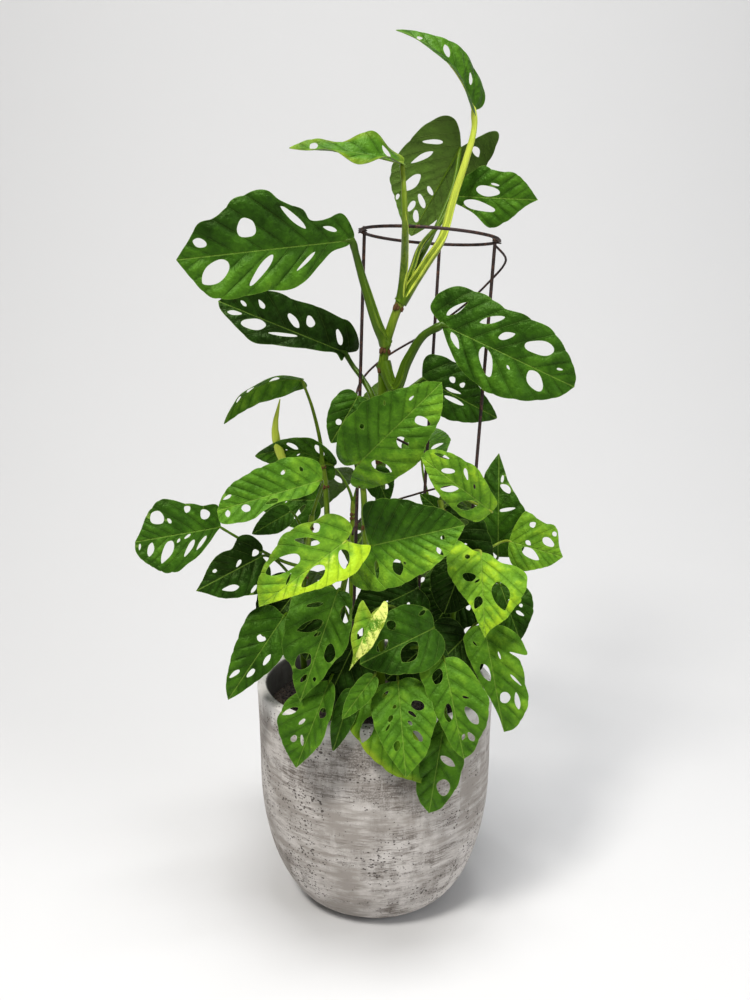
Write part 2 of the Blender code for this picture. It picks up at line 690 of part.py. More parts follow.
def left_stem():
    cane = [
        Vector((-62, -8, 150)) * MM, Vector((-62, -8, 196)) * MM, Vector((-66, -24, 260)) * MM,
        Vector((-60, -44, 330)) * MM, at(312, 515, -46),
    ]
    leaves = [
        Leaf(
            base=at(322, 480, -56), tip=at(217, 511, -84), width=64, root=0.97, roll=16, fold=0.3,
            edge=(
                (0.12, 0.09), (0.27, 0.11), (0.46, 0.1), (0.62, 0.13), (0.73, 0.18), (0.87, 0.17),
                (1, 0.13), (1, 0), (0.92, -0.11), (0.81, -0.19), (0.67, -0.24), (0.52, -0.27),
                (0.32, -0.29), (0.14, -0.25), (0, -0.18), (-0.03, -0.09),
            ),
            holes=(
                (0.46, 0.06, 0.58, 0.07, 0.04), (0.72, 0.04, 0.79, 0.07, 0.07),
                (0.91, 0.02, 0.93, 0.09, 0.038),
            ),
        ),
        Leaf(
            base=at(221, 527, -60), tip=at(135, 542, -88), width=65, root=0.75,
            route=(at(280, 560, -50), at(242, 540, -56)),
            edge=(
                (0.08, 0.06), (0.19, 0.17), (0.32, 0.27), (0.47, 0.34), (0.6, 0.42), (0.72, 0.42),
                (0.83, 0.35), (0.95, 0.23), (1.01, 0.11), (1, 0), (0.92, -0.12), (0.84, -0.27),
                (0.76, -0.36), (0.65, -0.44), (0.53, -0.4), (0.39, -0.34), (0.21, -0.29),
                (0.01, -0.27), (0, -0.14),
            ),
            holes=(
                (0.14, -0.13, 0.21, -0.23, 0.1), (0.2, 0.07, 0.35, 0.21, 0.035),
                (0.35, -0.24, 0.4, -0.3, 0.07), (0.35, 0.09, 0.5, 0.26, 0.045),
                (0.6, 0.06, 0.76, 0.29, 0.09), (0.67, -0.16, 0.77, -0.29, 0.13),
                (0.82, 0.04, 0.88, 0.19, 0.06),
            ),
        ),
        Leaf(
            base=at(262, 556, -66), tip=at(196, 591, -84), width=52, root=0.6,
            edge=(
                (-0.02, 0.2), (0.08, 0.36), (0.27, 0.44), (0.51, 0.37), (0.74, 0.25), (0.9, 0.09),
                (1, 0), (0.86, -0.09), (0.72, -0.2), (0.52, -0.29), (0.31, -0.3), (0.17, -0.38),
                (0.01, -0.33), (-0.07, -0.13),
            ),
            holes=((0.01, -0.1, 0.12, -0.06, 0.07), (0.47, 0.22, 0.69, 0.15, 0.07)),
        ),
        Leaf(
            base=at(290, 512, -40), tip=at(252, 534, -52), width=22, root=0.8, fold=0.5,
        ),
        Leaf(
            base=at(284, 616, -64), tip=at(228, 700, -84), width=54, root=0.3,
            edge=(
                (-0.01, 0.12), (0.15, 0.2), (0.36, 0.21), (0.54, 0.18), (0.7, 0.13), (0.86, 0.07),
                (1, 0), (0.91, -0.08), (0.76, -0.16), (0.59, -0.23), (0.4, -0.27), (0.24, -0.3),
                (0.08, -0.27), (-0.02, -0.16),
            ),
            holes=(
                (0.29, -0.02, 0.31, -0.11, 0.06), (0.38, 0.1, 0.51, 0.1, 0.04),
                (0.59, 0.05, 0.7, 0.03, 0.04), (0.68, -0.07, 0.8, -0.11, 0.036),
            ),
        ),
        Leaf(
            base=at(300, 586, -44), tip=at(262, 636, -58), width=54, root=0.6, arch=0.08,
        ),
        Leaf(
            base=at(334, 598, -48), tip=at(306, 660, -54), width=56, root=0.5, lean=0.6,
        ),
    ]
    return Stem("stem_left", cane, 3.4, leaves)


def front_left_stem():
    cane = [
        Vector((-38, -54, 150)) * MM, Vector((-38, -54, 196)) * MM, Vector((-36, -70, 260)) * MM,
        Vector((-26, -80, 326)) * MM, at(352, 560, -84),
    ]
    leaves = [
        Leaf(
            base=at(346, 541, -112), tip=at(259, 607, -146), width=72, root=0.97, fold=0.22,
            edge=(
                (-0.08, 0.1), (-0.16, 0.18), (0.05, 0.27), (0.24, 0.27), (0.44, 0.22), (0.64, 0.14),
                (0.84, 0.06), (1, 0), (0.9, -0.17), (0.78, -0.26), (0.63, -0.33), (0.46, -0.37),
                (0.29, -0.38), (0.13, -0.33), (-0.03, -0.29), (-0.12, -0.19), (-0.13, -0.06),
            ),
            holes=(
                (0.07, 0.05, 0.19, 0.19, 0.09), (0.17, -0.22, 0.17, -0.31, 0.09),
                (0.22, -0.13, 0.4, -0.29, 0.06), (0.32, 0.06, 0.6, 0.09, 0.1),
                (0.45, -0.14, 0.78, -0.2, 0.12),
            ),
        ),
        Leaf(
            base=at(338, 590, -96), tip=at(300, 702, -128), width=66, root=0.7,
            edge=(
                (0, 0.1), (0.11, 0.17), (0.27, 0.21), (0.45, 0.22), (0.59, 0.17), (0.76, 0.12),
                (0.88, 0.05), (1, 0), (0.87, -0.1), (0.74, -0.16), (0.68, -0.25), (0.56, -0.32),
                (0.35, -0.35), (0.18, -0.35), (0.08, -0.27), (0, -0.12),
            ),
            holes=(
                (0.11, 0.1, 0.25, 0.15, 0.07), (0.15, -0.08, 0.22, -0.21, 0.034),
                (0.3, -0.03, 0.44, -0.22, 0.08), (0.45, 0.09, 0.61, 0.12, 0.08),
                (0.59, -0.05, 0.74, -0.12, 0.11), (0.76, -0.02, 0.84, -0.05, 0.034),
            ),
        ),
        Leaf(
            base=at(330, 680, -112), tip=at(296, 768, -132), width=54, root=0.3, roll=26, fold=0.5,
            edge=(
                (0.04, 0.1), (0.16, 0.17), (0.3, 0.21), (0.45, 0.22), (0.6, 0.21), (0.75, 0.15),
                (0.9, 0.06), (1, 0), (0.92, -0.1), (0.8, -0.22), (0.63, -0.34), (0.49, -0.37),
                (0.34, -0.32), (0.2, -0.23), (0.07, -0.11),
            ),
            holes=(
                (0.28, 0.08, 0.4, 0.07, 0.1), (0.39, -0.19, 0.52, -0.32, 0.05),
                (0.64, -0.07, 0.75, -0.02, 0.03), (0.67, -0.12, 0.75, -0.14, 0.05),
            ),
        ),
        Leaf(
            base=at(352, 690, -104), tip=at(333, 751, -116), width=20, root=0.35, fold=0.3,
        ),
        Leaf(
            base=at(374, 676, -126), tip=at(342, 719, -136), width=18, root=0.4, fold=0.5,
        ),
        Leaf(
            base=at(358, 636, -84), tip=at(322, 712, -98), width=56, root=0.5, arch=0.08,
        ),
    ]
    return Stem("stem_front_left", cane, 3.2, leaves)


def centre_stem():
    cane = [
        Vector((-8, -36, 150)) * MM, Vector((-8, -36, 196)) * MM, Vector((-8, -42, 300)) * MM,
        at(364, 500, -46), at(360, 482, -46),
    ]
    leaves = [
        Leaf(
            base=at(358, 464, -54), tip=at(442, 382, -72), width=69, root=0.98, fold=0.2,
            edge=(
                (-0.1, 0.07), (-0.08, 0.18), (0.03, 0.26), (0.15, 0.33), (0.29, 0.35), (0.46, 0.33),
                (0.61, 0.27), (0.76, 0.18), (0.91, 0.1), (1, 0), (0.93, -0.09), (0.83, -0.18),
                (0.71, -0.24), (0.52, -0.31), (0.41, -0.34), (0.2, -0.31), (0.01, -0.26),
                (-0.14, -0.17), (-0.19, -0.08), (-0.09, -0.02),
            ),
            holes=(
                (0.11, -0.07, 0.19, -0.24, 0.08), (0.43, -0.07, 0.44, -0.19, 0.08),
                (0.65, -0.06, 0.71, -0.18, 0.06),
            ),
        ),
        Leaf(
            base=at(370, 546, -92), tip=at(465, 525, -116), width=76, root=0.7, fold=0.3,
            edge=(
                (0, 0.13), (0.02, 0.31), (0.08, 0.42), (0.25, 0.43), (0.47, 0.38), (0.69, 0.29),
                (0.86, 0.18), (0.95, 0.08), (1, 0), (0.94, -0.09), (0.81, -0.24), (0.65, -0.32),
                (0.4, -0.41), (0.18, -0.46), (-0.09, -0.43), (-0.28, -0.35), (-0.3, -0.25),
                (-0.14, -0.14),
            ),
            holes=(
                (0.05, -0.15, 0.04, -0.33, 0.048), (0.27, -0.18, 0.29, -0.34, 0.1),
                (0.7, -0.15, 0.76, -0.24, 0.036),
            ),
        ),
        Leaf(
            base=at(358, 396, -46), tip=at(331, 443, -50), width=34, root=0.97,
            left=((0.3, 0.2, 0.7, 0.2),), right=((0.5, 0.2, 0.6, 0.1),),
            route=(at(355, 455, -44), at(361, 422, -42)),
        ),
        Leaf(
            base=at(374, 470, -30), tip=at(388, 503, -34), width=26, root=0.95,
            left=((0.4, 0.2, 0.7, 0.14),),
        ),
        Leaf(
            base=at(418, 588, -48), tip=at(352, 620, -58), width=62, root=0.5, left=pierced(33, 2),
            right=pierced(34, 2), arch=0.08,
        ),
    ]
    return Stem("stem_centre", cane, 3.4, leaves)


def front_stem():
    cane = [
        Vector((18, -66, 150)) * MM, Vector((18, -66, 196)) * MM, Vector((20, -78, 255)) * MM,
        Vector((20, -86, 300)) * MM,
    ]
    leaves = [
        Leaf(
            base=at(398, 681, -112), tip=at(406, 778, -150), width=47, root=0.5, arch=0.09,
            edge=(
                (-0.03, 0.11), (0.01, 0.22), (0.11, 0.31), (0.28, 0.35), (0.46, 0.35), (0.63, 0.3),
                (0.79, 0.23), (0.89, 0.12), (1, 0), (0.83, -0.12), (0.66, -0.21), (0.51, -0.27),
                (0.35, -0.31), (0.18, -0.31), (0.05, -0.23), (0.01, -0.11),
            ),
            holes=(
                (0.25, 0.12, 0.31, 0.25, 0.09), (0.54, 0.11, 0.65, 0.2, 0.07),
                (0.62, -0.05, 0.73, -0.08, 0.06),
            ),
        ),
        Leaf(
            base=at(366, 690, -100), tip=at(434, 787, -122), width=60, root=0.4,
            edge=(
                (0.07, 0.09), (0.23, 0.14), (0.45, 0.13), (0.69, 0.11), (0.86, 0.06), (1, 0),
                (0.81, -0.14), (0.68, -0.23), (0.54, -0.28), (0.38, -0.31), (0.24, -0.31),
                (0.12, -0.29), (0.06, -0.26), (0.03, -0.1),
            ),
            holes=((0.2, -0.09, 0.33, -0.28, 0.09),),
        ),
        Leaf(
            base=at(446, 712, -110), tip=at(429, 813, -124), width=36, root=0.45,
            edge=(
                (0.13, 0.14), (0.28, 0.21), (0.45, 0.25), (0.61, 0.23), (0.77, 0.18), (0.92, 0.11),
                (1, 0), (0.89, -0.11), (0.72, -0.18), (0.54, -0.18), (0.3, -0.13), (0.1, -0.07),
            ),
            holes=((0.41, 0.02, 0.48, 0.17, 0.06), (0.62, 0.09, 0.79, 0.1, 0.11)),
        ),
        Leaf(
            base=at(372, 616, -132), tip=at(349, 671, -146), width=32, root=0.98, fold=0.3,
            edge=(
                (-0.17, 0.06), (-0.31, 0.09), (-0.29, 0.17), (-0.08, 0.24), (0.17, 0.24),
                (0.4, 0.22), (0.59, 0.16), (0.77, 0.07), (1, 0), (0.73, -0.04), (0.51, -0.17),
                (0.26, -0.24), (0.01, -0.27), (-0.18, -0.26), (-0.11, -0.14),
            ),
            holes=((0.24, -0.06, 0.46, -0.07, 0.08),),
        ),
        Leaf(
            base=at(434, 628, -106), tip=at(360, 664, -122), width=56, root=0.9,
            holes=(
                (0.05, -0.2, 0.06, -0.25, 0.09), (0.27, 0.06, 0.54, 0.2, 0.17),
                (0.41, -0.27, 0.52, -0.24, 0.11), (0.58, -0.12, 0.75, -0.04, 0.1),
            ),
        ),
        Leaf(
            base=at(444, 658, -112), tip=at(464, 759, -134), width=44, root=0.7,
            edge=(
                (0.01, 0.11), (0.09, 0.2), (0.25, 0.29), (0.37, 0.34), (0.52, 0.34), (0.68, 0.29),
                (0.81, 0.2), (0.94, 0.11), (1, 0), (0.89, -0.08), (0.74, -0.13), (0.57, -0.17),
                (0.41, -0.21), (0.26, -0.25), (0.08, -0.26), (0.02, -0.14),
            ),
            holes=(
                (0.09, -0.06, 0.23, -0.13, 0.09), (0.43, -0.05, 0.61, -0.07, 0.07),
                (0.49, 0.11, 0.68, 0.2, 0.08), (0.74, 0.09, 0.84, 0.13, 0.049),
            ),
        ),
        Leaf(
            base=at(466, 636, -62), tip=at(416, 686, -88), width=60, root=0.6, arch=0.08,
        ),
        Leaf(
            base=at(432, 640, -80), tip=at(386, 680, -92), width=56, root=0.85, arch=0.08,
        ),
    ]
    return Stem("stem_front", cane, 3.2, leaves)


def right_stem():
    cane = [
        Vector((60, -46, 150)) * MM, Vector((60, -46, 196)) * MM, Vector((68, -44, 280)) * MM,
        Vector((66, -36, 340)) * MM, at(440, 500, -24),
    ]
    leaves = [
        Leaf(
            base=at(492, 512, -82), tip=at(421, 457, -88), width=44, root=0.98,
            edge=(
                (0.07, 0.18), (0.23, 0.24), (0.42, 0.23), (0.6, 0.2), (0.75, 0.15), (0.88, 0.08),
                (1, 0), (0.99, -0.1), (0.91, -0.17), (0.78, -0.23), (0.63, -0.27), (0.46, -0.28),
                (0.34, -0.24), (0.2, -0.18), (0.02, -0.11),
            ),
            holes=(
                (0.38, 0.18, 0.19, 0.02, 0.09), (0.57, -0.19, 0.46, -0.11, 0.033),
                (0.64, 0.14, 0.48, 0.02, 0.06), (0.75, -0.02, 0.63, -0.1, 0.05),
            ),
        ),
        Leaf(
            base=at(498, 557, 10), tip=at(499, 453, 26), width=40, root=0.6,
            edge=(
                (0.07, 0.07), (0.21, 0.18), (0.37, 0.21), (0.55, 0.17), (0.75, 0.15), (0.89, 0.08),
                (1, 0), (0.86, -0.05), (0.72, -0.1), (0.58, -0.18), (0.46, -0.25), (0.27, -0.27),
                (0.09, -0.25), (0.01, -0.16),
            ),
            holes=(
                (0.45, -0.01, 0.48, -0.16, 0.029), (0.64, -0.05, 0.69, -0.09, 0.1),
                (0.79, -0.04, 0.72, -0.03, 0.024),
            ),
        ),
        Leaf(
            base=at(509, 541, -8), tip=at(563, 557, -20), width=50, root=0.55,
            edge=(
                (0.02, 0.27), (0.14, 0.6), (0.43, 0.52), (0.68, 0.52), (0.79, 0.4), (0.88, 0.17),
                (1, 0), (0.84, -0.2), (0.64, -0.35), (0.41, -0.44), (0.19, -0.39), (0.05, -0.21),
            ),
            holes=(
                (0.26, -0.05, 0.61, -0.17, 0.14), (0.29, 0.36, 0.37, 0.45, 0.09),
                (0.57, 0.22, 0.79, 0.14, 0.12),
            ),
        ),
        Leaf(
            base=at(481, 552, -74), tip=at(485, 638, -104), width=57, root=0.65,
            edge=(
                (0.04, 0.11), (0.14, 0.22), (0.19, 0.38), (0.29, 0.5), (0.44, 0.52), (0.59, 0.46),
                (0.68, 0.35), (0.8, 0.25), (0.91, 0.07), (1, 0), (0.86, -0.06), (0.72, -0.11),
                (0.57, -0.19), (0.43, -0.31), (0.28, -0.38), (0.09, -0.4), (-0.1, -0.36),
                (-0.15, -0.25), (-0.03, -0.1),
            ),
            holes=(
                (0.25, -0.14, 0.35, -0.16, 0.13), (0.37, 0.17, 0.7, 0.24, 0.17),
                (0.53, -0.03, 0.67, -0.1, 0.08),
            ),
        ),
        Leaf(
            base=at(500, 584, -30), tip=at(520, 640, -44), width=46, root=0.5,
            holes=((0.41, -0.08, 0.53, -0.05, 0.07), (0.51, 0.1, 0.63, 0.2, 0.05)),
        ),
        Leaf(
            base=at(484, 624, -72), tip=at(504, 732, -94), width=40, root=0.35,
            edge=(
                (0.04, 0.16), (0.13, 0.27), (0.23, 0.32), (0.33, 0.32), (0.28, 0.18), (0.37, 0.26),
                (0.5, 0.28), (0.66, 0.29), (0.78, 0.26), (0.89, 0.19), (0.98, 0.1), (1, 0),
                (0.85, -0.02), (0.71, -0.06), (0.56, -0.11), (0.4, -0.16), (0.24, -0.2),
                (0.09, -0.21), (0.01, -0.11),
            ),
            holes=(
                (0.34, -0.09, 0.51, -0.04, 0.07), (0.63, 0.08, 0.73, 0.05, 0.08),
                (0.65, 0.17, 0.81, 0.17, 0.041),
            ),
        ),
        Leaf(
            base=at(442, 512, 0), tip=at(420, 494, 4), width=16, root=0.95,
        ),
        Leaf(
            base=at(463, 580, -33), tip=at(429, 635, -42), width=61, root=0.45, left=pierced(49, 2),
            right=pierced(50, 2), arch=0.06,
        ),
        Leaf(
            base=at(438, 520, -20), tip=at(492, 575, -38), width=58, root=0.75, left=pierced(71, 2),
            right=pierced(72, 2), arch=0.08,
        ),
        Leaf(
            base=at(462, 566, -60), tip=at(444, 614, -66), width=46, root=0.6,
        ),
    ]
    return Stem("stem_right", cane, 3.4, leaves)


def back_stems():
    """The side that the view doesn't reach, grown like the seen one."""
    left = Stem(
        "stem_back_left",
        [around(108, 72, 150), around(108, 72, 196), around(106, 84, 290), around(104, 88, 360)],
        3.2,
        [
            Leaf(
                base=around(112, 104, 390), tip=around(118, 150, 330), width=60, root=0.97,
                left=pierced(51, 3), right=pierced(52, 2), face=Vector((-0.4, 1, 0.5)),
            ),
            Leaf(
                base=around(92, 112, 330), tip=around(96, 150, 262), width=58, root=0.7,
                left=pierced(53, 2), right=pierced(54, 3), face=Vector((0, 1, 0.5)),
            ),
            Leaf(
                base=around(122, 108, 286), tip=around(124, 140, 216), width=54, root=0.45,
                left=pierced(55, 2), right=pierced(56, 2), face=Vector((-0.5, 1, 0.4)),
            ),
            Leaf(
                base=around(90, 92, 420), tip=around(84, 110, 478), width=48, root=0.95,
                left=pierced(57, 2), right=pierced(58, 2), face=Vector((0, 1, 0.2)),
            ),
        ],
    )
    right = Stem(
        "stem_back_right",
        [around(48, 76, 150), around(48, 76, 196), around(50, 86, 280), around(52, 90, 340)],
        3.2,
        [
            Leaf(
                base=around(44, 112, 366), tip=around(38, 150, 306), width=60, root=0.97,
                left=pierced(61, 2), right=pierced(62, 3), face=Vector((0.7, 1, 0.5)),
            ),
            Leaf(
                base=around(66, 116, 300), tip=around(66, 150, 232), width=56, root=0.6,
                left=pierced(63, 3), right=pierced(64, 2), face=Vector((0.3, 1, 0.4)),
            ),
            Leaf(
                base=around(28, 112, 292), tip=around(22, 142, 224), width=52, root=0.4,
                left=pierced(65, 2), right=pierced(66, 2), face=Vector((1, 0.6, 0.4)),
            ),
            Leaf(
                base=around(64, 104, 400), tip=around(66, 146, 424), width=50, root=0.98,
                left=pierced(67, 2), right=pierced(68, 2), face=Vector((0.2, 0.6, 1)),
            ),
        ],
    )
    return [left, right]


def build():
    for obj in list(bpy.data.objects):
        bpy.data.objects.remove(obj, do_unlink=True)
    stems = [
        tall_stem(), left_back_stem(), left_stem(), front_left_stem(), centre_stem(), front_stem(),
        right_stem(), *back_stems(),
    ]
    stands = [(stem.name, standing_run(cane_path(stem), 5), stem.radius * MM) for stem in stems]
    for name, bearing in LEG_BEARINGS.items():
        stands.append(("leg_" + name, standing_run(leg_path(bearing), 2), LEG_WIRE))
    pot()
    soil(stands)
    wires()
    green = plain_material("leaf_green", (0.07, 0.23, 0.02), 0.4)
    for stem in stems:
        leafy_stem(stem, green)


build()
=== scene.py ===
"""A climbing monstera with pierced leaves in a rough round pot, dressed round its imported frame."""

import json
import math
import random
from collections import namedtuple

import bmesh
import bpy
import numpy as np
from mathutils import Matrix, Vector
from mathutils.geometry import delaunay_2d_cdt

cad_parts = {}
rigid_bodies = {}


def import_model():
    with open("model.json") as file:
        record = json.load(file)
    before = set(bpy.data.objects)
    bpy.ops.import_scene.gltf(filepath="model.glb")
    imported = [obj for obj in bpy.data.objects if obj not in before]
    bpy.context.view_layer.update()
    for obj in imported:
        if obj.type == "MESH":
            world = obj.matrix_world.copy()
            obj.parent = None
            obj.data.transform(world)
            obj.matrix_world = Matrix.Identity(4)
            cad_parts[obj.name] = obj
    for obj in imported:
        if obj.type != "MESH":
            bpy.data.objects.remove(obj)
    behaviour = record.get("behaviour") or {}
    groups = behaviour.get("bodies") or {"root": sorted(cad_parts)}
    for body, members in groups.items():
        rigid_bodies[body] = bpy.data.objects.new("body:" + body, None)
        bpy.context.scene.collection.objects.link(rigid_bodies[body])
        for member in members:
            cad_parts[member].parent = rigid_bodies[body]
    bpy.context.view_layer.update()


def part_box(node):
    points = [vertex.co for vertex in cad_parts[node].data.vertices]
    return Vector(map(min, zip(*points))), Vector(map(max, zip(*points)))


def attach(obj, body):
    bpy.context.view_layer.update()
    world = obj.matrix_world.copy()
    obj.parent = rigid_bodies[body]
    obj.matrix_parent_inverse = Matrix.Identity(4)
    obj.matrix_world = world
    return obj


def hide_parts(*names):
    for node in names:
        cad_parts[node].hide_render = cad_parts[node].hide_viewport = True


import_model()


# The view: an eye just under a metre in front of the pot, above its rim and looking a little down.
# The sight lines that the leaves are placed on start here.
MM = 0.001
EYE = Vector((0, -967, 600)) * MM
EYE_TILT = math.radians(12.8)
FOCAL = 1110
VIEW_CENTRE = (375, 500)
VIEW_HEIGHT = 1000
FILM = 36

camera = bpy.data.cameras.new("eye")
camera.lens = FILM * FOCAL / VIEW_HEIGHT
camera.sensor_width = FILM
camera_object = bpy.data.objects.new("eye", camera)
camera_object.location = EYE
camera_object.rotation_euler = (math.pi / 2 - EYE_TILT, 0, 0)
bpy.context.scene.collection.objects.link(camera_object)
bpy.context.scene.camera = camera_object


def at(px, py, depth):
    """The point of the view's sight line through (px, py) that lies depth millimetres behind the axis."""
    across = (px - VIEW_CENTRE[0]) / FOCAL
    down = (py - VIEW_CENTRE[1]) / FOCAL
    ahead = math.cos(EYE_TILT) - down * math.sin(EYE_TILT)
    fall = -math.sin(EYE_TILT) - down * math.cos(EYE_TILT)
    reach = (depth * MM - EYE.y) / ahead
    return EYE + Vector((across, ahead, fall)) * reach


# The studio: a pale sweep of card under and behind the plant, and soft lamps on the left, right and above.
# None of it belongs to the plant.
SWEEP_WIDTH = 6.0
SWEEP_FRONT = -2.5
SWEEP_BACK = 1.6
SWEEP_BEND = 1.2
SWEEP_TOP = 3.5
SWEEP_STEPS = 12
SWEEP_COLOUR = (0.70, 0.70, 0.705, 1)
WORLD_COLOUR = (0.86, 0.88, 0.90, 1)
WORLD_STRENGTH = 0.20
LAMPS = {
    "key": ((-0.7, -1.4, 2.2), 0.45, 44, (1.0, 0.97, 0.92)),
    "fill": ((1.7, -1.4, 1.1), 1.2, 15.7, (0.96, 0.98, 1.0)),
    "top": ((0.1, -0.3, 2.3), 0.7, 30.5, (1.0, 1.0, 1.0)),
}
LAMP_TARGET = Vector((0, 0, 0.36))


def add_object(name, data):
    obj = bpy.data.objects.new(name, data)
    bpy.context.scene.collection.objects.link(obj)
    return obj


class Wire:
    """A node socket that Python's operators work on: each operator adds its Math node to the tree."""

    def __init__(self, tree, socket):
        self.tree = tree
        self.socket = socket

    def math(self, operation, *values):
        return self.tree.node("ShaderNodeMath", {"operation": operation}, values)

    def __add__(self, other):
        return self.math("ADD", self, other)

    def __radd__(self, other):
        return self.math("ADD", other, self)

    def __sub__(self, other):
        return self.math("SUBTRACT", self, other)

    def __rsub__(self, other):
        return self.math("SUBTRACT", other, self)

    def __mul__(self, other):
        return self.math("MULTIPLY", self, other)

    def __rmul__(self, other):
        return self.math("MULTIPLY", other, self)

    def __truediv__(self, other):
        return self.math("DIVIDE", self, other)

    def __pow__(self, other):
        return self.math("POWER", self, other)

    def __abs__(self):
        return self.math("ABSOLUTE", self)

    def __gt__(self, other):
        return self.math("GREATER_THAN", self, other)


class Tree:
    """A node tree that is being put together."""

    def __init__(self, tree):
        self.tree = tree

    def node(self, kind, settings=None, values=(), output=0):
        """Adds a node, gives it its settings and then its sockets' values or links, and wraps an output."""
        made = self.tree.nodes.new(kind)
        for name, setting in (settings or {}).items():
            if name == "stops":
                ramp = made.color_ramp.elements
                while len(ramp) < len(setting):
                    ramp.new(0.5)
                for element, (place, colour) in zip(ramp, setting):
                    element.position = place
                    element.color = colour
            else:
                setattr(made, name, setting)
        pairs = values.items() if isinstance(values, dict) else enumerate(values)
        for key, value in pairs:
            if isinstance(value, Wire):
                self.tree.links.new(value.socket, made.inputs[key])
            else:
                made.inputs[key].default_value = value
        return Wire(self, made.outputs[output])

    def sine(self, angle):
        return self.node("ShaderNodeMath", {"operation": "SINE"}, (angle,))

    def between(self, value, low, high):
        """A smooth step from 0 at low to 1 at high."""
        return self.node(
            "ShaderNodeMapRange", {"interpolation_type": "SMOOTHSTEP"}, (value, low, high, 0.0, 1.0)
        )

    def noise(self, place, scale, detail=2.0, rough=0.5):
        values = {"Vector": place, "Scale": scale, "Detail": detail, "Roughness": rough}
        return self.node("ShaderNodeTexNoise", {"noise_dimensions": "3D"}, values)

    def mix(self, share, first, second):
        """A colour between two."""
        return self.node("ShaderNodeMix", {"data_type": "RGBA"}, {0: share, 6: first, 7: second}, 2)

    def tinted(self, share, first, second):
        """The first colour multiplied by the second, by a share."""
        settings = {"data_type": "RGBA", "blend_type": "MULTIPLY"}
        return self.node("ShaderNodeMix", settings, {0: share, 6: first, 7: second}, 2)

    def scaled(self, place, sizes):
        """A place stretched along its axes."""
        return self.node("ShaderNodeVectorMath", {"operation": "MULTIPLY"}, (place, sizes))

    def parts(self, vector):
        """A vector's three numbers."""
        split = self.node("ShaderNodeSeparateXYZ", None, (vector,)).socket.node
        return [Wire(self, output) for output in split.outputs]


class Paint(Tree):
    """A material's tree, with its Principled shader."""

    def __init__(self, name, roughness=0.5, **constants):
        self.material = bpy.data.materials.new(name)
        self.material.use_nodes = True
        super().__init__(self.material.node_tree)
        self.shader = self.tree.nodes["Principled BSDF"]
        self.feed("Roughness", roughness)
        for socket, value in constants.items():
            self.feed(socket.replace("_", " "), value)
        self.place = self.node("ShaderNodeTexCoord", output=3)

    def feed(self, socket, value):
        if isinstance(value, Wire):
            self.tree.links.new(value.socket, self.shader.inputs[socket])
        else:
            self.shader.inputs[socket].default_value = value

    def relief(self, height, distance):
        """Raises the surface by a height of 0 to 1 times a distance, as shading."""
        values = {"Strength": 1.0, "Distance": distance, "Height": height}
        self.feed("Normal", self.node("ShaderNodeBump", None, values))

    def attribute(self, name, output=1):
        """What the mesh carries under a name: output 1 is its vector, output 2 its single number."""
        return self.node("ShaderNodeAttribute", {"attribute_name": name}, output=output)


def sweep_profile():
    """The card's section, from front to top."""
    turn = [
        (SWEEP_BACK - SWEEP_BEND + SWEEP_BEND * math.sin(a), SWEEP_BEND - SWEEP_BEND * math.cos(a))
        for a in (math.pi / 2 * k / SWEEP_STEPS for k in range(SWEEP_STEPS + 1))
    ]
    return [(SWEEP_FRONT, 0.0), *turn, (SWEEP_BACK, SWEEP_TOP)]


section = sweep_profile()
sweep_mesh = bpy.data.meshes.new("sweep")
corners = [(side * SWEEP_WIDTH / 2, y, z) for y, z in section for side in (-1, 1)]
sweep_mesh.from_pydata(corners, [], [(k, k + 1, k + 3, k + 2) for k in range(0, 2 * len(section) - 2, 2)])
sweep_mesh.shade_smooth()
sweep = add_object("sweep", sweep_mesh)
card = Paint("pale_card", 0.9)
card.feed("Base Color", SWEEP_COLOUR)
sweep_mesh.materials.append(card.material)

world = bpy.data.worlds.new("studio")
world.use_nodes = True
sky = world.node_tree.nodes["Background"].inputs
sky["Color"].default_value = WORLD_COLOUR
sky["Strength"].default_value = WORLD_STRENGTH
bpy.context.scene.world = world
for lamp_name, (place, size, power, colour) in LAMPS.items():
    lamp = bpy.data.lights.new(lamp_name, "AREA")
    lamp.size = size
    lamp.energy = power
    lamp.color = colour
    lamp_object = add_object(lamp_name, lamp)
    lamp_object.location = place
    lamp_object.rotation_euler = (LAMP_TARGET - Vector(place)).to_track_quat("-Z", "Y").to_euler()
bpy.context.scene.view_settings.view_transform = "Standard"


# The pot: cast, fibre-filled concrete, brushed by hand round a mould, with a rounded foot and a thick rim.
# Its wall is pitted where air was caught, stained, and whitened along the rim, with painted shade inside and
# a painted leaf shadow at the front.
FOOT_RADIUS = 50 * MM
BELLY_HEIGHT = 130 * MM
RIM_SWELL = 1.5 * MM
WALL = 9 * MM
FLOOR = 14 * MM
RIM_ROUND = 3 * MM
RIM_STEPS = 5
POT_SIDES = 192
WALL_STEPS = 46
STEPS_GROWTH = 1.7
POT_SWELL = 1.6 * MM
POT_BRUSH = 0.5 * MM
SWELL_ROOM = 0.4 * MM
FRONT_STAIN_AND_SHADOW_X = 12 * MM
PIT_LAYERS = ((300.0, 0.02, 0.20), (135.0, -0.07, 0.14))
CONCRETE_PALE = (0.60, 0.565, 0.535, 1)
CONCRETE_GREY = (0.32, 0.29, 0.262, 1)
STAIN_AND_SHADOW_BROWN = (0.088, 0.067, 0.050, 1)
SCUFF_GREY = (0.20, 0.185, 0.17, 1)
LIME_GREY = (0.66, 0.63, 0.60, 1)
RIM_WHITE = (0.76, 0.75, 0.72, 1)
INSIDE_DIRT_AND_SHADE = (0.016, 0.013, 0.009, 1)
PIT_BROWN = (0.060, 0.048, 0.040, 1)
pot_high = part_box("pot")[1]
POT_HEIGHT = pot_high.z
RIM_RADIUS = pot_high.x - SWELL_ROOM
BELLY_RADIUS = RIM_RADIUS - RIM_SWELL


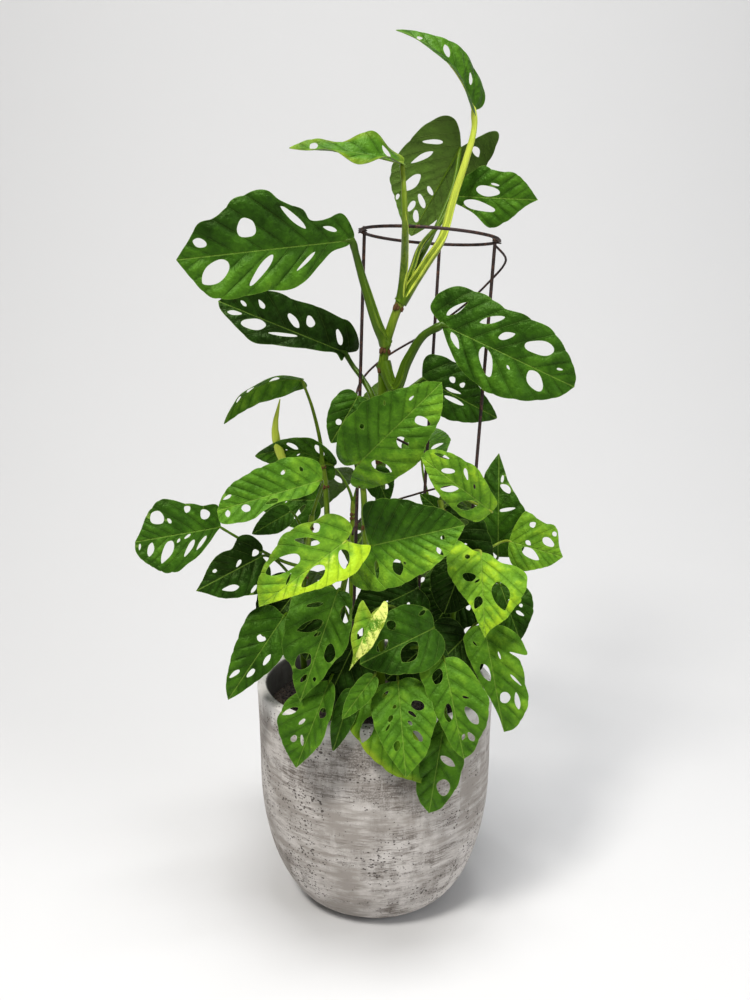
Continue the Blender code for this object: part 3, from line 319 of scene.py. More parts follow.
def outer_radius(height):
    """The pot's outer radius at a height: a quarter ellipse, then a nearly upright wall."""
    if height < BELLY_HEIGHT:
        rise = 1 - height / BELLY_HEIGHT
        return FOOT_RADIUS + (BELLY_RADIUS - FOOT_RADIUS) * math.sqrt(1 - rise * rise)
    rise = (height - BELLY_HEIGHT) / (POT_HEIGHT - BELLY_HEIGHT)
    return BELLY_RADIUS + (RIM_RADIUS - BELLY_RADIUS) * rise * rise


def wall_heights(low, high, steps):
    """Heights up the wall, close together where the foot turns."""
    return [low + (high - low) * (k / steps) ** STEPS_GROWTH for k in range(steps + 1)]


def spun(name, profile, sides):
    """A closed body of revolution from a profile that starts and ends on the axis."""
    form = bmesh.new()
    verts = [form.verts.new((radius, 0, height)) for radius, height in profile]
    edges = [form.edges.new(pair) for pair in zip(verts, verts[1:])]
    bmesh.ops.spin(form, geom=verts + edges, cent=(0, 0, 0), axis=(0, 0, 1), angle=math.tau,
                   steps=sides, use_merge=True)
    bmesh.ops.remove_doubles(form, verts=form.verts, dist=1e-6)
    bmesh.ops.recalc_face_normals(form, faces=form.faces)
    mesh = bpy.data.meshes.new(name)
    form.to_mesh(mesh)
    form.free()
    mesh.shade_smooth()
    return add_object(name, mesh)


class Form(Tree):
    """A geometry tree with named inputs and a material, whose Geometry goes in and comes out."""

    KINDS = {
        float: "NodeSocketFloat", int: "NodeSocketInt", Vector: "NodeSocketVector",
        bpy.types.Collection: "NodeSocketCollection", bpy.types.Material: "NodeSocketMaterial",
    }

    def __init__(self, name, **inputs):
        super().__init__(bpy.data.node_groups.new(name, "GeometryNodeTree"))
        face = self.tree.interface
        face.new_socket("Geometry", in_out="OUTPUT", socket_type="NodeSocketGeometry")
        face.new_socket("Geometry", in_out="INPUT", socket_type="NodeSocketGeometry")
        for label, kind in (*inputs.items(), ("Material", bpy.types.Material)):
            face.new_socket(label, in_out="INPUT", socket_type=self.KINDS[kind])
        self.entry = self.tree.nodes.new("NodeGroupInput")
        self.exit = self.tree.nodes.new("NodeGroupOutput")
        self.position = self.node("GeometryNodeInputPosition")

    def given(self, label):
        return Wire(self, self.entry.outputs[label])

    def end(self, geometry):
        """Ends the tree with real geometry that wears the material."""
        real = self.node("GeometryNodeRealizeInstances", None, (geometry,))
        values = {"Geometry": real, "Material": self.given("Material")}
        dressed = self.node("GeometryNodeSetMaterial", None, values)
        self.tree.links.new(dressed.socket, self.exit.inputs[0])

    def read(self, name, kind="FLOAT_VECTOR"):
        """The numbers that the geometry carries under a name."""
        return self.node("GeometryNodeInputNamedAttribute", {"data_type": kind}, (name,))

    def times(self, vector, factor):
        return self.node("ShaderNodeVectorMath", {"operation": "SCALE"}, {0: vector, 3: factor})

    def plus(self, first, second):
        return self.node("ShaderNodeVectorMath", {"operation": "ADD"}, (first, second))

    def moved(self, geometry, offset):
        return self.node("GeometryNodeSetPosition", None, {"Geometry": geometry, "Offset": offset})

    def swollen(self, geometry, depth):
        """The geometry with each point moved out along its normal."""
        return self.moved(geometry, self.times(self.node("GeometryNodeInputNormal"), depth))

    def joined(self, *pieces):
        both = self.tree.nodes.new("GeometryNodeJoinGeometry")
        for piece in pieces:
            self.tree.links.new(piece.socket, both.inputs[0])
        return Wire(self, both.outputs[0])

    def use(self, obj, **values):
        """Puts the tree on an object, with values for its named inputs."""
        modifier = obj.modifiers.new(self.tree.name, "NODES")
        modifier.node_group = self.tree
        places = {item.name: item.identifier for item in self.tree.interface.items_tree}
        for label, value in values.items():
            modifier[places[label]] = value


def settle(obj):
    """Turns what an object shows into a plain mesh of its own, with no modifier left."""
    bpy.context.view_layer.update()
    shown = obj.evaluated_get(bpy.context.evaluated_depsgraph_get())
    mesh = bpy.data.meshes.new_from_object(shown)
    obj.modifiers.clear()
    obj.data = mesh


def keep(piece, node):
    """Puts a piece on the root body and hides the solid that it stands for."""
    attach(piece, "root")
    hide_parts(node)


def hand_cast():
    """A tree that makes a surface a little uneven, along its normals: broad swells and fine brush marks."""
    form = Form("hand_cast", Swell=float, Brush=float)
    broad = form.noise(form.position, 14.0, 1.0) - 0.5
    marks = form.noise(form.scaled(form.position, (26, 26, 210)), 1.0, 2.0) - 0.5
    depth = broad * form.given("Swell") + marks * form.given("Brush")
    form.end(form.swollen(form.given("Geometry"), depth))
    return form


def concrete():
    """Pale warm concrete: brush marks round the wall, brown stains, clusters of small pits, a white rim;
    painted shade inside and a painted leaf shadow at the front.
    """
    paint = Paint("rough_concrete", 0.9)
    place = paint.place
    x, y, height = paint.parts(place)
    broad = paint.noise(place, 11.0, 3.0, 0.55)
    cloud = paint.noise(place, 34.0, 4.0, 0.6)
    band = paint.noise(paint.scaled(place, (17, 17, 62)), 1.0, 4.0, 0.62)
    brush = paint.noise(paint.scaled(place, (22, 22, 190)), 1.0, 4.0, 0.65)
    drips = paint.noise(paint.scaled(place, (110, 110, 16)), 1.0, 3.0, 0.55)
    grain = paint.noise(place, 700.0, 3.0, 0.6)
    scratch = paint.noise(paint.scaled(place, (75, 75, 950)), 1.0, 2.0, 0.6)
    cast_tone = paint.between(broad * 0.4 + brush * 0.35 + cloud * 0.25, 0.43, 0.56)
    colour = paint.mix(cast_tone, CONCRETE_GREY, CONCRETE_PALE)
    # A band at the front, under the leaves, is added to the stains: partly stain, partly a painted shadow of
    # the leaves above.
    beside = 1 - paint.between(abs(x - FRONT_STAIN_AND_SHADOW_X), 30 * MM, 85 * MM)
    front = beside * (y * -1 > 0) * paint.between(height, 118 * MM, 150 * MM)
    belly = paint.between(height, 20 * MM, 45 * MM) * (1 - paint.between(height, 60 * MM, 85 * MM))
    worn_and_shaded = broad * 0.25 + band * 0.35 + brush * 0.2 + drips * 0.2 + front * 0.075 + belly * 0.025
    gritty = paint.between(scratch * 0.35 + grain * 0.4 + cloud * 0.25, 0.43, 0.57) * 0.5 + 0.5
    stain_and_shadow = paint.between(worn_and_shaded, 0.50, 0.61) * gritty
    colour = paint.mix(stain_and_shadow * 0.82, colour, STAIN_AND_SHADOW_BROWN)
    scored = paint.between(scratch * 0.4 + cloud * 0.35 + band * 0.25, 0.54, 0.61)
    colour = paint.mix(scored * 0.5, colour, STAIN_AND_SHADOW_BROWN)
    scuff = paint.between(brush * 0.5 + grain * 0.5, 0.53, 0.62)
    colour = paint.mix(scuff * 0.35, colour, SCUFF_GREY)
    smear = paint.between(drips * 0.75 + cloud * 0.25, 0.56, 0.66)
    smear = smear * paint.between(height, 60 * MM, 100 * MM)
    colour = paint.mix(smear * 0.45, colour, LIME_GREY)
    rim = paint.between(height + (drips - 0.5) * (50 * MM), 186 * MM, 206 * MM)
    colour = paint.mix(rim * 0.62, colour, RIM_WHITE)
    # Inside the wall the colour goes nearly black: partly soil stain, partly painted shade in the pot's
    # hollow.
    far_out = paint.between((x * x + y * y) ** 0.5, 100 * MM, 101.8 * MM)
    hollow = (1 - far_out) * paint.between(height, 150 * MM, 160 * MM)
    colour = paint.mix(hollow * (0.80 + cloud * 0.18), colour, INSIDE_DIRT_AND_SHADE)
    spread = paint.between(paint.noise(place, 20.0, 2.0), 0.46, 0.62)
    pits = 0.0
    for scale, least, most in PIT_LAYERS:
        values = {"Vector": paint.scaled(place, (1, 1, 1.4)), "Scale": scale}
        cells = paint.node("ShaderNodeTexVoronoi", {"feature": "F1"}, values)
        size = least + spread * most + (paint.noise(place, scale * 0.55) - 0.5) * 0.9
        pits = pits + (1 - paint.between(cells - size, -0.05, 0.08))
    pits = paint.between(pits, 0.0, 1.0)
    colour = paint.mix(pits * 0.86, colour, PIT_BROWN)
    paint.feed("Base Color", colour)
    paint.feed("Roughness", 0.86 + pits * 0.1)
    paint.relief(brush * 0.35 + grain * 0.25 + cloud * 0.3 - pits * 0.9, 1.1 * MM)
    return paint.material


rim_start = POT_HEIGHT - RIM_ROUND
outside = [(outer_radius(height), height) for height in wall_heights(0, rim_start, WALL_STEPS)]
rim_turns = [math.pi / 2 * k / RIM_STEPS for k in range(1, RIM_STEPS + 1)]
lip = [
    (RIM_RADIUS - RIM_ROUND + RIM_ROUND * math.cos(a), rim_start + RIM_ROUND * math.sin(a))
    for a in rim_turns
]
inner_lip = [
    (RIM_RADIUS - WALL + RIM_ROUND - RIM_ROUND * math.cos(a), rim_start + RIM_ROUND * math.sin(a))
    for a in reversed(rim_turns)
]
inner_heights = wall_heights(FLOOR, rim_start, WALL_STEPS // 2)
inside = [(outer_radius(height) - WALL, height) for height in reversed(inner_heights)]
pot_profile = [(0, 0), *outside, *lip, *inner_lip, *inside, (0, FLOOR)]
concrete_pot = spun("concrete_pot", pot_profile, POT_SIDES)
hand_cast().use(concrete_pot, Swell=POT_SWELL, Brush=POT_BRUSH, Material=concrete())
settle(concrete_pot)
for vertex in concrete_pot.data.vertices:
    vertex.co.z = max(vertex.co.z, 0)
keep(concrete_pot, "pot")


# The soil: dark, crumbly potting mix, filled to a finger's breadth under the rim and slightly domed.
# Its loose crumbs and bits of bark lie on the surface between the stems.
SOIL_GAP = 0.3 * MM
SOIL_INSET = 1 * MM
SOIL_TOP = 186 * MM
SOIL_DOME = 4 * MM
SOIL_ROUGHNESS = 3.2 * MM
SOIL_SIDES = 120
SOIL_WALL_STEPS = 12
DOME_STEPS = 40
CRUMB_SIZE = 1.7 * MM
CRUMB_LEAST = (0.3, 0.3, 0.25)
CRUMB_MOST = (1.3, 0.8, 0.7)
CRUMBS_PER_SQUARE_METRE = 90000.0
SOIL_DARK = (0.006, 0.004, 0.003, 1)
SOIL_BROWN = (0.042, 0.028, 0.019, 1)
BARK_BROWN = (0.070, 0.048, 0.030, 1)


def crumbled():
    """A tree that roughens the top of the soil and strews crumbs over it."""
    form = Form("crumbled", Top=float, Rough=float, Crumb=float, Density=float)
    on_top = form.parts(form.position)[2] > form.given("Top") - 1 * MM
    lumps = (form.noise(form.position, 130.0, 3.0) - 0.5) * form.given("Rough") * on_top
    lift = form.node("ShaderNodeCombineXYZ", None, {2: lumps})
    ground = form.moved(form.given("Geometry"), lift)
    values = {"Mesh": ground, "Selection": on_top, "Density": form.given("Density"), "Seed": 4}
    points = form.node("GeometryNodeDistributePointsOnFaces", None, values)
    values = {"Radius": form.given("Crumb"), "Subdivisions": 1}
    crumb = form.node("GeometryNodeMeshIcoSphere", None, values)
    vectors = {"data_type": "FLOAT_VECTOR"}
    sizes = form.node("FunctionNodeRandomValue", vectors, {0: CRUMB_LEAST, 1: CRUMB_MOST, "Seed": 7})
    turns = form.node("FunctionNodeRandomValue", vectors, {0: (0, 0, 0), 1: (6, 6, 6), "Seed": 9})
    values = {"Points": points, "Instance": crumb, "Rotation": turns, "Scale": sizes}
    form.end(form.joined(form.node("GeometryNodeInstanceOnPoints", None, values), ground))
    return form


def dark_earth():
    """Nearly black peat with brown specks and patches of bark."""
    paint = Paint("dark_soil", 0.95)
    speck = paint.noise(paint.place, 420.0, 3.0, 0.6)
    patch = paint.noise(paint.place, 45.0, 2.0)
    colour = paint.mix(paint.between(speck, 0.42, 0.66), SOIL_DARK, SOIL_BROWN)
    colour = paint.mix(paint.between(patch, 0.5, 0.75) * 0.5, colour, BARK_BROWN)
    paint.feed("Base Color", colour)
    paint.relief(speck, 1.2 * MM)
    return paint.material


soil_floor = FLOOR + SOIL_GAP
soil_wall = [
    (outer_radius(height) - WALL - SOIL_GAP - SOIL_INSET, height)
    for height in wall_heights(soil_floor, SOIL_TOP, SOIL_WALL_STEPS)
]
soil_edge = soil_wall[-1][0]
inward = [1 - k / DOME_STEPS for k in range(1, DOME_STEPS + 1)]
dome = [(soil_edge * share, SOIL_TOP + SOIL_DOME * (1 - share ** 2)) for share in inward]
potting_soil = spun("potting_soil", [(0, soil_floor), *soil_wall, *dome], SOIL_SIDES)
crumbled().use(
    potting_soil, Top=SOIL_TOP, Rough=SOIL_ROUGHNESS, Crumb=CRUMB_SIZE, Density=CRUMBS_PER_SQUARE_METRE,
    Material=dark_earth(),
)
settle(potting_soil)
keep(potting_soil, "soil")


# The wire cage: mild steel wire gone brown with rust. A hoop is held on three legs that stand in the soil,
# and a thinner wire winds down behind and round the legs. Short turns of thin wire tie hoop and legs.
GAP = 0.3 * MM
HOOP_CENTRE = Vector((47.2, 15, 610)) * MM
HOOP_RADIUS = 56.3 * MM
HOOP_FRONT_RISE = 0.10
HOOP_LEFT_RISE = 0.075
HOOP_WIRE = 1.4 * MM
LEG_WIRE = 1.5 * MM
LEG_OVER_HOOP = 4 * MM
WIRE_DEPTH = 70 * MM
CAGE_FOOT = Vector((27, 0, 186)) * MM
CAGE_FOOT_RADIUS = 49 * MM
SPIRAL_WIRE = 1.0 * MM
SPIRAL_START = -30
SPIRAL_STEP = 5
SPIRAL_UNDER_HOOP = 3 * MM
SPIRAL_HEIGHTS = (587, 520, 472, 434, 400, 371, 347)
SPIRAL_BOW = 0.13
SPIRAL_BOW_BEARING = -4
SPIRAL_BOW_SPREAD = 20
LEG_BEARINGS = {"left": 180, "right": 0, "back": 78}
TIE_WIRE = 0.55 * MM
TIE_TURNS = 2.5
TIE_STEPS = 20
TIE_SLANT = 0.8
TIE_PITCH = 3.5 * TIE_WIRE
BARE_END = 2.5 * MM
LEG_STEPS = 90
HOOP_STEPS = 120
WIRE_SIDES = 12
WIRE_UNEVEN = 0.12 * MM
WIRE_GRAIN = 450.0
RUST_DARK = (0.022, 0.011, 0.009, 1)
RUST_ORANGE = (0.105, 0.040, 0.020, 1)
RUST_GREY = (0.060, 0.036, 0.034, 1)
CUT_COPPER = (0.55, 0.26, 0.13, 1)


def hoop_point(bearing, radius=HOOP_RADIUS):
    """A point on the tilted hoop, bearing in degrees from +X."""
    turn = math.radians(bearing)
    across = radius * math.cos(turn)
    back = radius * math.sin(turn)
    lift = -HOOP_FRONT_RISE * back - HOOP_LEFT_RISE * across
    return HOOP_CENTRE + Vector((across, back, lift))


def cage_foot(bearing, radius=CAGE_FOOT_RADIUS):
    turn = math.radians(bearing)
    return CAGE_FOOT + Vector((math.cos(turn), math.sin(turn), 0)) * radius


def leg_path(bearing):
    """A leg from under the soil to just above the hoop, inside the hoop's wire."""
    top = hoop_point(bearing)
    foot = cage_foot(bearing)
    direction = (top - foot).normalized()
    start, end = foot - direction * WIRE_DEPTH, top + direction * LEG_OVER_HOOP
    return [start.lerp(end, k / LEG_STEPS) for k in range(LEG_STEPS + 1)]


def spiral_path():
    """The thin wire that leaves the right leg's top, bows out and winds down behind and round the legs."""
    clear = LEG_WIRE + SPIRAL_WIRE + 2 * GAP
    last = 90 * (len(SPIRAL_HEIGHTS) - 1)
    start = hoop_point(0).z - SPIRAL_UNDER_HOOP
    path = []
    for bearing in range(SPIRAL_START, last + 1, SPIRAL_STEP):
        quarter = max(bearing, 0) / 90
        low = min(int(quarter), len(SPIRAL_HEIGHTS) - 2)
        step = SPIRAL_HEIGHTS[low + 1] - SPIRAL_HEIGHTS[low]
        height = (SPIRAL_HEIGHTS[low] + step * (quarter - low)) * MM
        if bearing < 0:
            height += (start - height) * bearing / SPIRAL_START
        top, foot = hoop_point(bearing), cage_foot(bearing)
        share = (top.z - height) / (top.z - foot.z)
        middle = HOOP_CENTRE.lerp(CAGE_FOOT, share)
        spoke = top.lerp(foot, share) - middle
        spoke.z = 0
        bow = 1 + SPIRAL_BOW * math.exp(-((bearing - SPIRAL_BOW_BEARING) / SPIRAL_BOW_SPREAD) ** 2)
        place = middle + spoke * bow + spoke.normalized() * clear
        place.z = height
        path.append(place)
    return path


def tie_path(bearing):
    """Turns of thin wire round a leg and the hoop beside it."""
    middle = hoop_point(bearing, HOOP_RADIUS + (LEG_WIRE + HOOP_WIRE) / 2)
    out = (hoop_point(bearing, 2 * HOOP_RADIUS) - hoop_point(bearing)).normalized()
    beside = (hoop_point(bearing + 1) - hoop_point(bearing - 1)).normalized()
    slant = (out.cross(beside) + beside * TIE_SLANT).normalized()
    reach = LEG_WIRE + HOOP_WIRE + TIE_WIRE
    path = []
    for k in range(int(TIE_TURNS * TIE_STEPS) + 1):
        turn = math.tau * k / TIE_STEPS
        rise = (k / (TIE_TURNS * TIE_STEPS) - 0.5) * TIE_PITCH * TIE_TURNS
        side = beside * (math.sin(turn) * (LEG_WIRE + TIE_WIRE))
        path.append(middle + out * (math.cos(turn) * reach) + side + slant * rise)
    return path


def path_mesh(name, paths):
    """Paths as chains of edges. Each is points, then a radius and a pair of tones at each point."""
    places, edges, radii, tones = [], [], [], []
    for points, thick, tone, closed in paths:
        first = len(places)
        places += points
        edges += [(k, k + 1) for k in range(first, len(places) - 1)]
        edges += [(len(places) - 1, first)] if closed else []
        radii += thick
        tones += tone
    mesh = bpy.data.meshes.new(name)
    mesh.from_pydata(places, edges, [])
    mesh.attributes.new("radius", "FLOAT", "POINT").data.foreach_set("value", radii)
    look = [value for tone in tones for value in (*tone, 0.0)]
    mesh.attributes.new("tone", "FLOAT_VECTOR", "POINT").data.foreach_set("vector", look)
    return add_object(name, mesh)


def drawn_tubes():
    """A tree that turns chains of edges into round tubes with a slightly uneven surface."""
    form = Form("drawn_tubes", Sides=int, Uneven=float, Grain=float)
    curve = form.node("GeometryNodeMeshToCurve", None, (form.given("Geometry"),))
    values = {"Resolution": form.given("Sides"), "Radius": 1.0}
    circle = form.node("GeometryNodeCurvePrimitiveCircle", None, values)
    radius = form.read("radius", "FLOAT")
    values = {"Curve": curve, "Profile Curve": circle, "Scale": radius, "Fill Caps": True}
    tube = form.node("GeometryNodeCurveToMesh", None, values)
    swell = (form.noise(form.position, form.given("Grain"), 2.0) - 0.5) * form.given("Uneven")
    form.end(form.node("GeometryNodeSetShadeSmooth", None, (form.swollen(tube, swell),)))
    return form


def rusty_steel():
    """Dark brown rust with orange blooms, and clean copper-coloured metal where the wire was cut."""
    paint = Paint("rusty_wire", 0.7)
    bloom = paint.between(paint.noise(paint.place, 260.0, 4.0, 0.6), 0.5, 0.68)
    broad = paint.between(paint.noise(paint.place, 40.0, 2.0), 0.4, 0.7)
    bare = paint.parts(paint.attribute("tone"))[0]
    colour = paint.mix(bloom, RUST_DARK, RUST_ORANGE)
    colour = paint.mix(broad * 0.35, colour, RUST_GREY)
    colour = paint.mix(bare, colour, CUT_COPPER)
    paint.feed("Base Color", colour)
    paint.feed("Roughness", 0.72 - bare * 0.4 - broad * 0.12)
    paint.feed("Metallic", 0.3 - bare * 0.2)
    paint.relief(bloom * 0.7 + broad * 0.3, 0.3 * MM)
    return paint.material


def plain_wire(points, radius, closed=False):
    return points, [radius] * len(points), [(0.0, 0.0)] * len(points), closed


tubes = drawn_tubes()
rust = rusty_steel()
hoop_line = HOOP_RADIUS + LEG_WIRE + HOOP_WIRE + GAP
ring = [hoop_point(360 * k / HOOP_STEPS, hoop_line) for k in range(HOOP_STEPS)]
ties = [plain_wire(tie_path(bearing), TIE_WIRE) for bearing in LEG_BEARINGS.values()]
wires = {
    "wire_hoop": [plain_wire(ring, HOOP_WIRE, True), *ties],
    "wire_spiral": [plain_wire(spiral_path(), SPIRAL_WIRE)],
}
for leg_name, bearing in LEG_BEARINGS.items():
    line = leg_path(bearing)
    cut = [leg_name == "right" and (line[-1] - point).length < BARE_END for point in line]
    bare_tones = [(float(bright), 0.0) for bright in cut]
    wires["wire_leg_" + leg_name] = [(line, [LEG_WIRE] * len(line), bare_tones, False)]
for wire_name, paths in wires.items():
    wire = path_mesh("rusty_" + wire_name, paths)
    tubes.use(wire, Sides=WIRE_SIDES, Uneven=WIRE_UNEVEN, Grain=WIRE_GRAIN, Material=rust)
    settle(wire)
    keep(wire, wire_name)


# Leaves and stalks: soft green blades with smooth holes between their side veins, each on its own stalk.
# Every blade is drawn flat, with outline, holes and an even mesh, and then one rule arches, folds and waves
# it, puffs it up between the veins and gives it its thickness.
GRID = 1.7 * MM
EDGE_RUN = 0.13
BLADE = 0.6 * MM
MARGIN_BLADE = 0.55
VEIN_SLANT = 0.7
VEIN_TURN = 1.1
VEIN_BEND = 0.4
END_VEINS = 10
HOLE_SPREAD = 1.16
HOLE_TAPER = 0.25
HOLE_POINT = 1.25
HOLE_DENT = 0.07
HOLE_LEAST_CORNERS = 12
PIN_LEAST_WIDTH = 40
FULLNESS = 0.7
CURL = 0.06
FOLD_ROUND = 0.02
WAVES = 11
LEFT_WAVE_LEAD = 1.7
PUFF = 0.09
PUFF_ROUND = 0.75
UNEVEN = 3.4 * MM
SCALLOP = 0.035
RAGGED = 0.030
FIRST_ROW = 0.7
ROW_STRETCH = 1.3
ROW_REACH = 0.9
EDGE_CLEAR = 0.6
RIB = 1.15 * MM
RIB_END = 0.2 * MM
RIB_STEPS = 36
CANE_SWELL = 0.16
CANE_STEPS = 16
STALK_STEPS = 24
STALK_SIDES = 12
STALK_UNEVEN = 0.25 * MM
STALK_GRAIN = 120.0
STUBS = ((-0.6, 0.33), (0.0, 0.22), (0.95, 0.25))
STUB_DROP = 0.032
STUB_SPACING = 0.06
SHEATHED_STALK = 3.0
SHEATH_END = 0.62
SHEATH_STEPS = 24
SHEATH_EDGE = 0.26
SHEATH_PALER = 0.28
SPEAR_STEPS = 40
SPEAR_BELLIES = (0.45, 0.8, 1.0, 0.9, 0.55, 0.12)
SHARP_ANGLE = math.radians(50)
BLADE_STOPS = (
    (0.0, (0.005, 0.016, 0.001, 1)), (0.12, (0.011, 0.035, 0.003, 1)), (0.35, (0.026, 0.080, 0.005, 1)),
    (0.6, (0.064, 0.168, 0.010, 1)), (0.8, (0.148, 0.305, 0.018, 1)), (1.0, (0.355, 0.540, 0.018, 1)),
)
STALK_STOPS = (
    (0.0, (0.014, 0.040, 0.002, 1)), (0.5, (0.066, 0.132, 0.003, 1)), (1.0, (0.600, 0.700, 0.080, 1)),
)
BLADE_SHEEN = (0.55, 1.0, 0.25, 1)
STALK_SHEEN = (0.75, 1.0, 0.5, 1)
CREASE_SHADE_TINT = (0.45, 0.55, 0.4, 1)
MOTTLE_TINT = (0.62, 0.70, 0.45, 1)
GOLD = (0.48, 0.50, 0.03, 1)
CREAM = (0.66, 0.68, 0.18, 1)
VEIN_GREEN = (0.20, 0.34, 0.05, 1)
RIB_GREEN = (0.22, 0.36, 0.05, 1)
UNDER_GREEN = (0.13, 0.20, 0.04, 1)
SCAR = (0.085, 0.026, 0.014, 1)

Leaf = namedtuple(
    "Leaf",
    "base tip width root left right route stalk roll arch sweep fold wave under face lean belly lobe edge"
    " holes slits tone swing gold rind",
    defaults=(
        0.5, (), (), (), (1.7, 1.0), 0, 0.08, 0, 0.16, 0.018, False, None, 1.0, (0.36, 0.36), 0.26, (),
        (), (), 0.4, 0.0, 0.0, None,
    ),
)
Stem = namedtuple("Stem", "name cane radius leaves extras", defaults=((),))


def around(bearing, radius, height):
    """A point round the pot's axis: bearing in degrees from +X, radius and height in millimetres."""
    turn = math.radians(bearing)
    return Vector((radius * math.cos(turn), radius * math.sin(turn), height)) * MM


def smooth_path(points, steps):
    """Points along a smooth curve through the given ones, with steps between each two."""
    ends = [points[0] * 2 - points[1]] + list(points) + [points[-1] * 2 - points[-2]]
    path = []
    for a, b, c, d in zip(ends, ends[1:], ends[2:], ends[3:]):
        for step in range(steps):
            t = step / steps
            path.append(
                b + (c - a) * (t / 2) + (a * 2 - b * 5 + c * 4 - d) * (t * t / 2)
                + (b * 3 - a - c * 3 + d) * (t ** 3 / 2)
            )
    return path + [points[-1]]


def along(path, share):
    """The point at a share of a path's points."""
    place = share * (len(path) - 1)
    low = min(int(place), len(path) - 2)
    return path[low].lerp(path[low + 1], place - low)


def pierced(seed, count):
    """Holes for one side of a blade, one between each two side veins, from a seeded draw."""
    draw = random.Random(seed)
    holes = []
    for k in range(count):
        t = 0.10 + 0.66 * k / max(count - 1, 1) + draw.uniform(-0.02, 0.02)
        inner = draw.uniform(0.18, 0.3)
        outer = draw.uniform(0.62, 0.78)
        holes.append((t, inner, outer, draw.uniform(0.04, 0.09)))
    return tuple(holes)


def half_breadth(t, belly):
    """A blade's half breadth at a station along it, as a share of the widest, which is at belly."""
    t = min(max(t, 0), 1)
    bend = math.log(0.5) / math.log(belly)
    return math.sin(math.pi * t ** bend) ** FULLNESS * (1 - 0.15 * t ** 5)


def margin_point(leaf, t, half, belly):
    """A point on one side of the blade's edge, in blade lengths: along and across."""
    breadth = half_breadth(t, belly)
    return t - leaf.lobe * breadth * (1 - t) ** 5 * 2 * half, half * breadth


def vein_point(t, share, half, belly):
    """A point at a share of the way out along the side vein that leaves the midrib at t."""
    slant = VEIN_SLANT + VEIN_TURN * t
    reach = half * 0.8
    for _ in range(5):
        reach = half * half_breadth(t + slant * reach, belly)
    return t + slant * share * reach, share * reach


def vein_station(x, y):
    """Where the side vein through a point of a flat blade leaves the midrib."""
    return (x - VEIN_SLANT * abs(y) - VEIN_BEND * y * y) / (1 + VEIN_TURN * abs(y))


def vein_stations(leaf, holes):
    """Where one side's veins leave the midrib: one on each side of every hole, the rest in even steps."""
    pitch = vein_pitch(leaf)
    middles = []
    found = sorted(vein_station((ax + bx) / 2, (ay + by) / 2) for ax, ay, bx, by, _ in holes)
    for middle in found:
        if not middles or middle - middles[-1] > 0.55 * pitch:
            middles.append(middle)
    middles = middles or [0.5 * pitch]
    stations = [middles[0] - pitch * (k + 0.5) for k in range(END_VEINS)][::-1]
    for near, far in zip(middles, middles[1:]):
        count = max(1, round((far - near) / pitch))
        stations += [near + (far - near) * (k + 0.5) / count for k in range(count)]
    return stations + [middles[-1] + pitch * (k + 0.5) for k in range(END_VEINS)]


def vein_phase(points, stations):
    """How many side veins lie between the blade's foot and each point: a whole number on a vein."""
    return np.interp(vein_station(points[:, 0], points[:, 1]), stations, range(len(stations)))


def hole_ring(ax, ay, bx, by, breadth, step, draw):
    """A hole from one end to the other, blunt or pointed and a little uneven."""
    length = math.hypot(bx - ax, by - ay)
    ux, uy = (bx - ax) / length, (by - ay) / length
    corners = max(HOLE_LEAST_CORNERS, round(2.2 * (length + breadth) / step))
    taper = HOLE_TAPER * draw.uniform(-0.6, 1.6)
    point = draw.uniform(0.9, HOLE_POINT + 0.3)
    dent = draw.uniform(0, math.tau)
    loop = []
    for k in range(corners):
        turn = math.tau * k / corners
        run = length / 2 * math.cos(turn)
        side = math.copysign(abs(math.sin(turn)) ** point, math.sin(turn))
        uneven = 1 + HOLE_DENT * math.sin(3 * turn + dent)
        out = HOLE_SPREAD * breadth / 2 * side * (1 - taper * math.cos(turn)) * uneven
        loop.append(((ax + bx) / 2 + run * ux - out * uy, (ay + by) / 2 + run * uy + out * ux))
    return loop


def small_holes(leaf, holes, draw):
    """The pinholes that open close to the midrib, between the large ones."""
    if leaf.width < PIN_LEAST_WIDTH:
        return []
    pins = []
    for (t, inner, *_), (after, nearest, *_) in zip(holes, holes[1:]):
        if draw.random() < 0.6 and after - t > 0.12:
            start = min(inner, nearest) * 0.45
            end = start + draw.uniform(0.08, 0.16)
            pins.append(((t + after) / 2, start, end, draw.uniform(0.012, 0.02)))
    return pins


def hole_ends(leaf, half, draw):
    """Both ends and the breadth of each hole: placed ones, and ones between the side veins."""
    ends = [*leaf.holes, *leaf.slits]
    sides = ((leaf.left, 1, half * leaf.lean, leaf.belly[0]), (leaf.right, -1, half, leaf.belly[1]))
    for holes, side, reach, belly in sides:
        for t, inner, outer, breadth in (*holes, *small_holes(leaf, holes, draw)):
            ax, ay = vein_point(t, inner, reach, belly)
            bx, by = vein_point(t, outer, reach, belly)
            ends.append((ax, side * ay, bx, side * by, breadth))
    return ends


def segments(rings):
    """The ends of all the rings' edges."""
    starts = np.array([point for ring in rings for point in ring])
    ends = np.array([point for ring in rings for point in ring[1:] + ring[:1]])
    return starts, ends


def ring_distance(points, rings):
    """How far each point lies from the nearest ring."""
    starts, ends = segments(rings)
    run = ends - starts
    gaps = points[:, None] - starts[None]
    share = np.clip((gaps * run).sum(2) / np.maximum((run * run).sum(1), 1e-12), 0, 1)
    return np.sqrt(((gaps - run * share[..., None]) ** 2).sum(2)).min(1)


def within(points, ring):
    """Which points a ring holds."""
    starts, ends = segments([ring])
    x, y = points[:, :1], points[:, 1:]
    rises = (starts[:, 1] > y) != (ends[:, 1] > y)
    height = np.where(ends[:, 1] == starts[:, 1], 1e-12, ends[:, 1] - starts[:, 1])
    crossing = starts[:, 0] + (ends[:, 0] - starts[:, 0]) * (y - starts[:, 1]) / height
    return (rises & (x < crossing)).sum(1) % 2 == 1


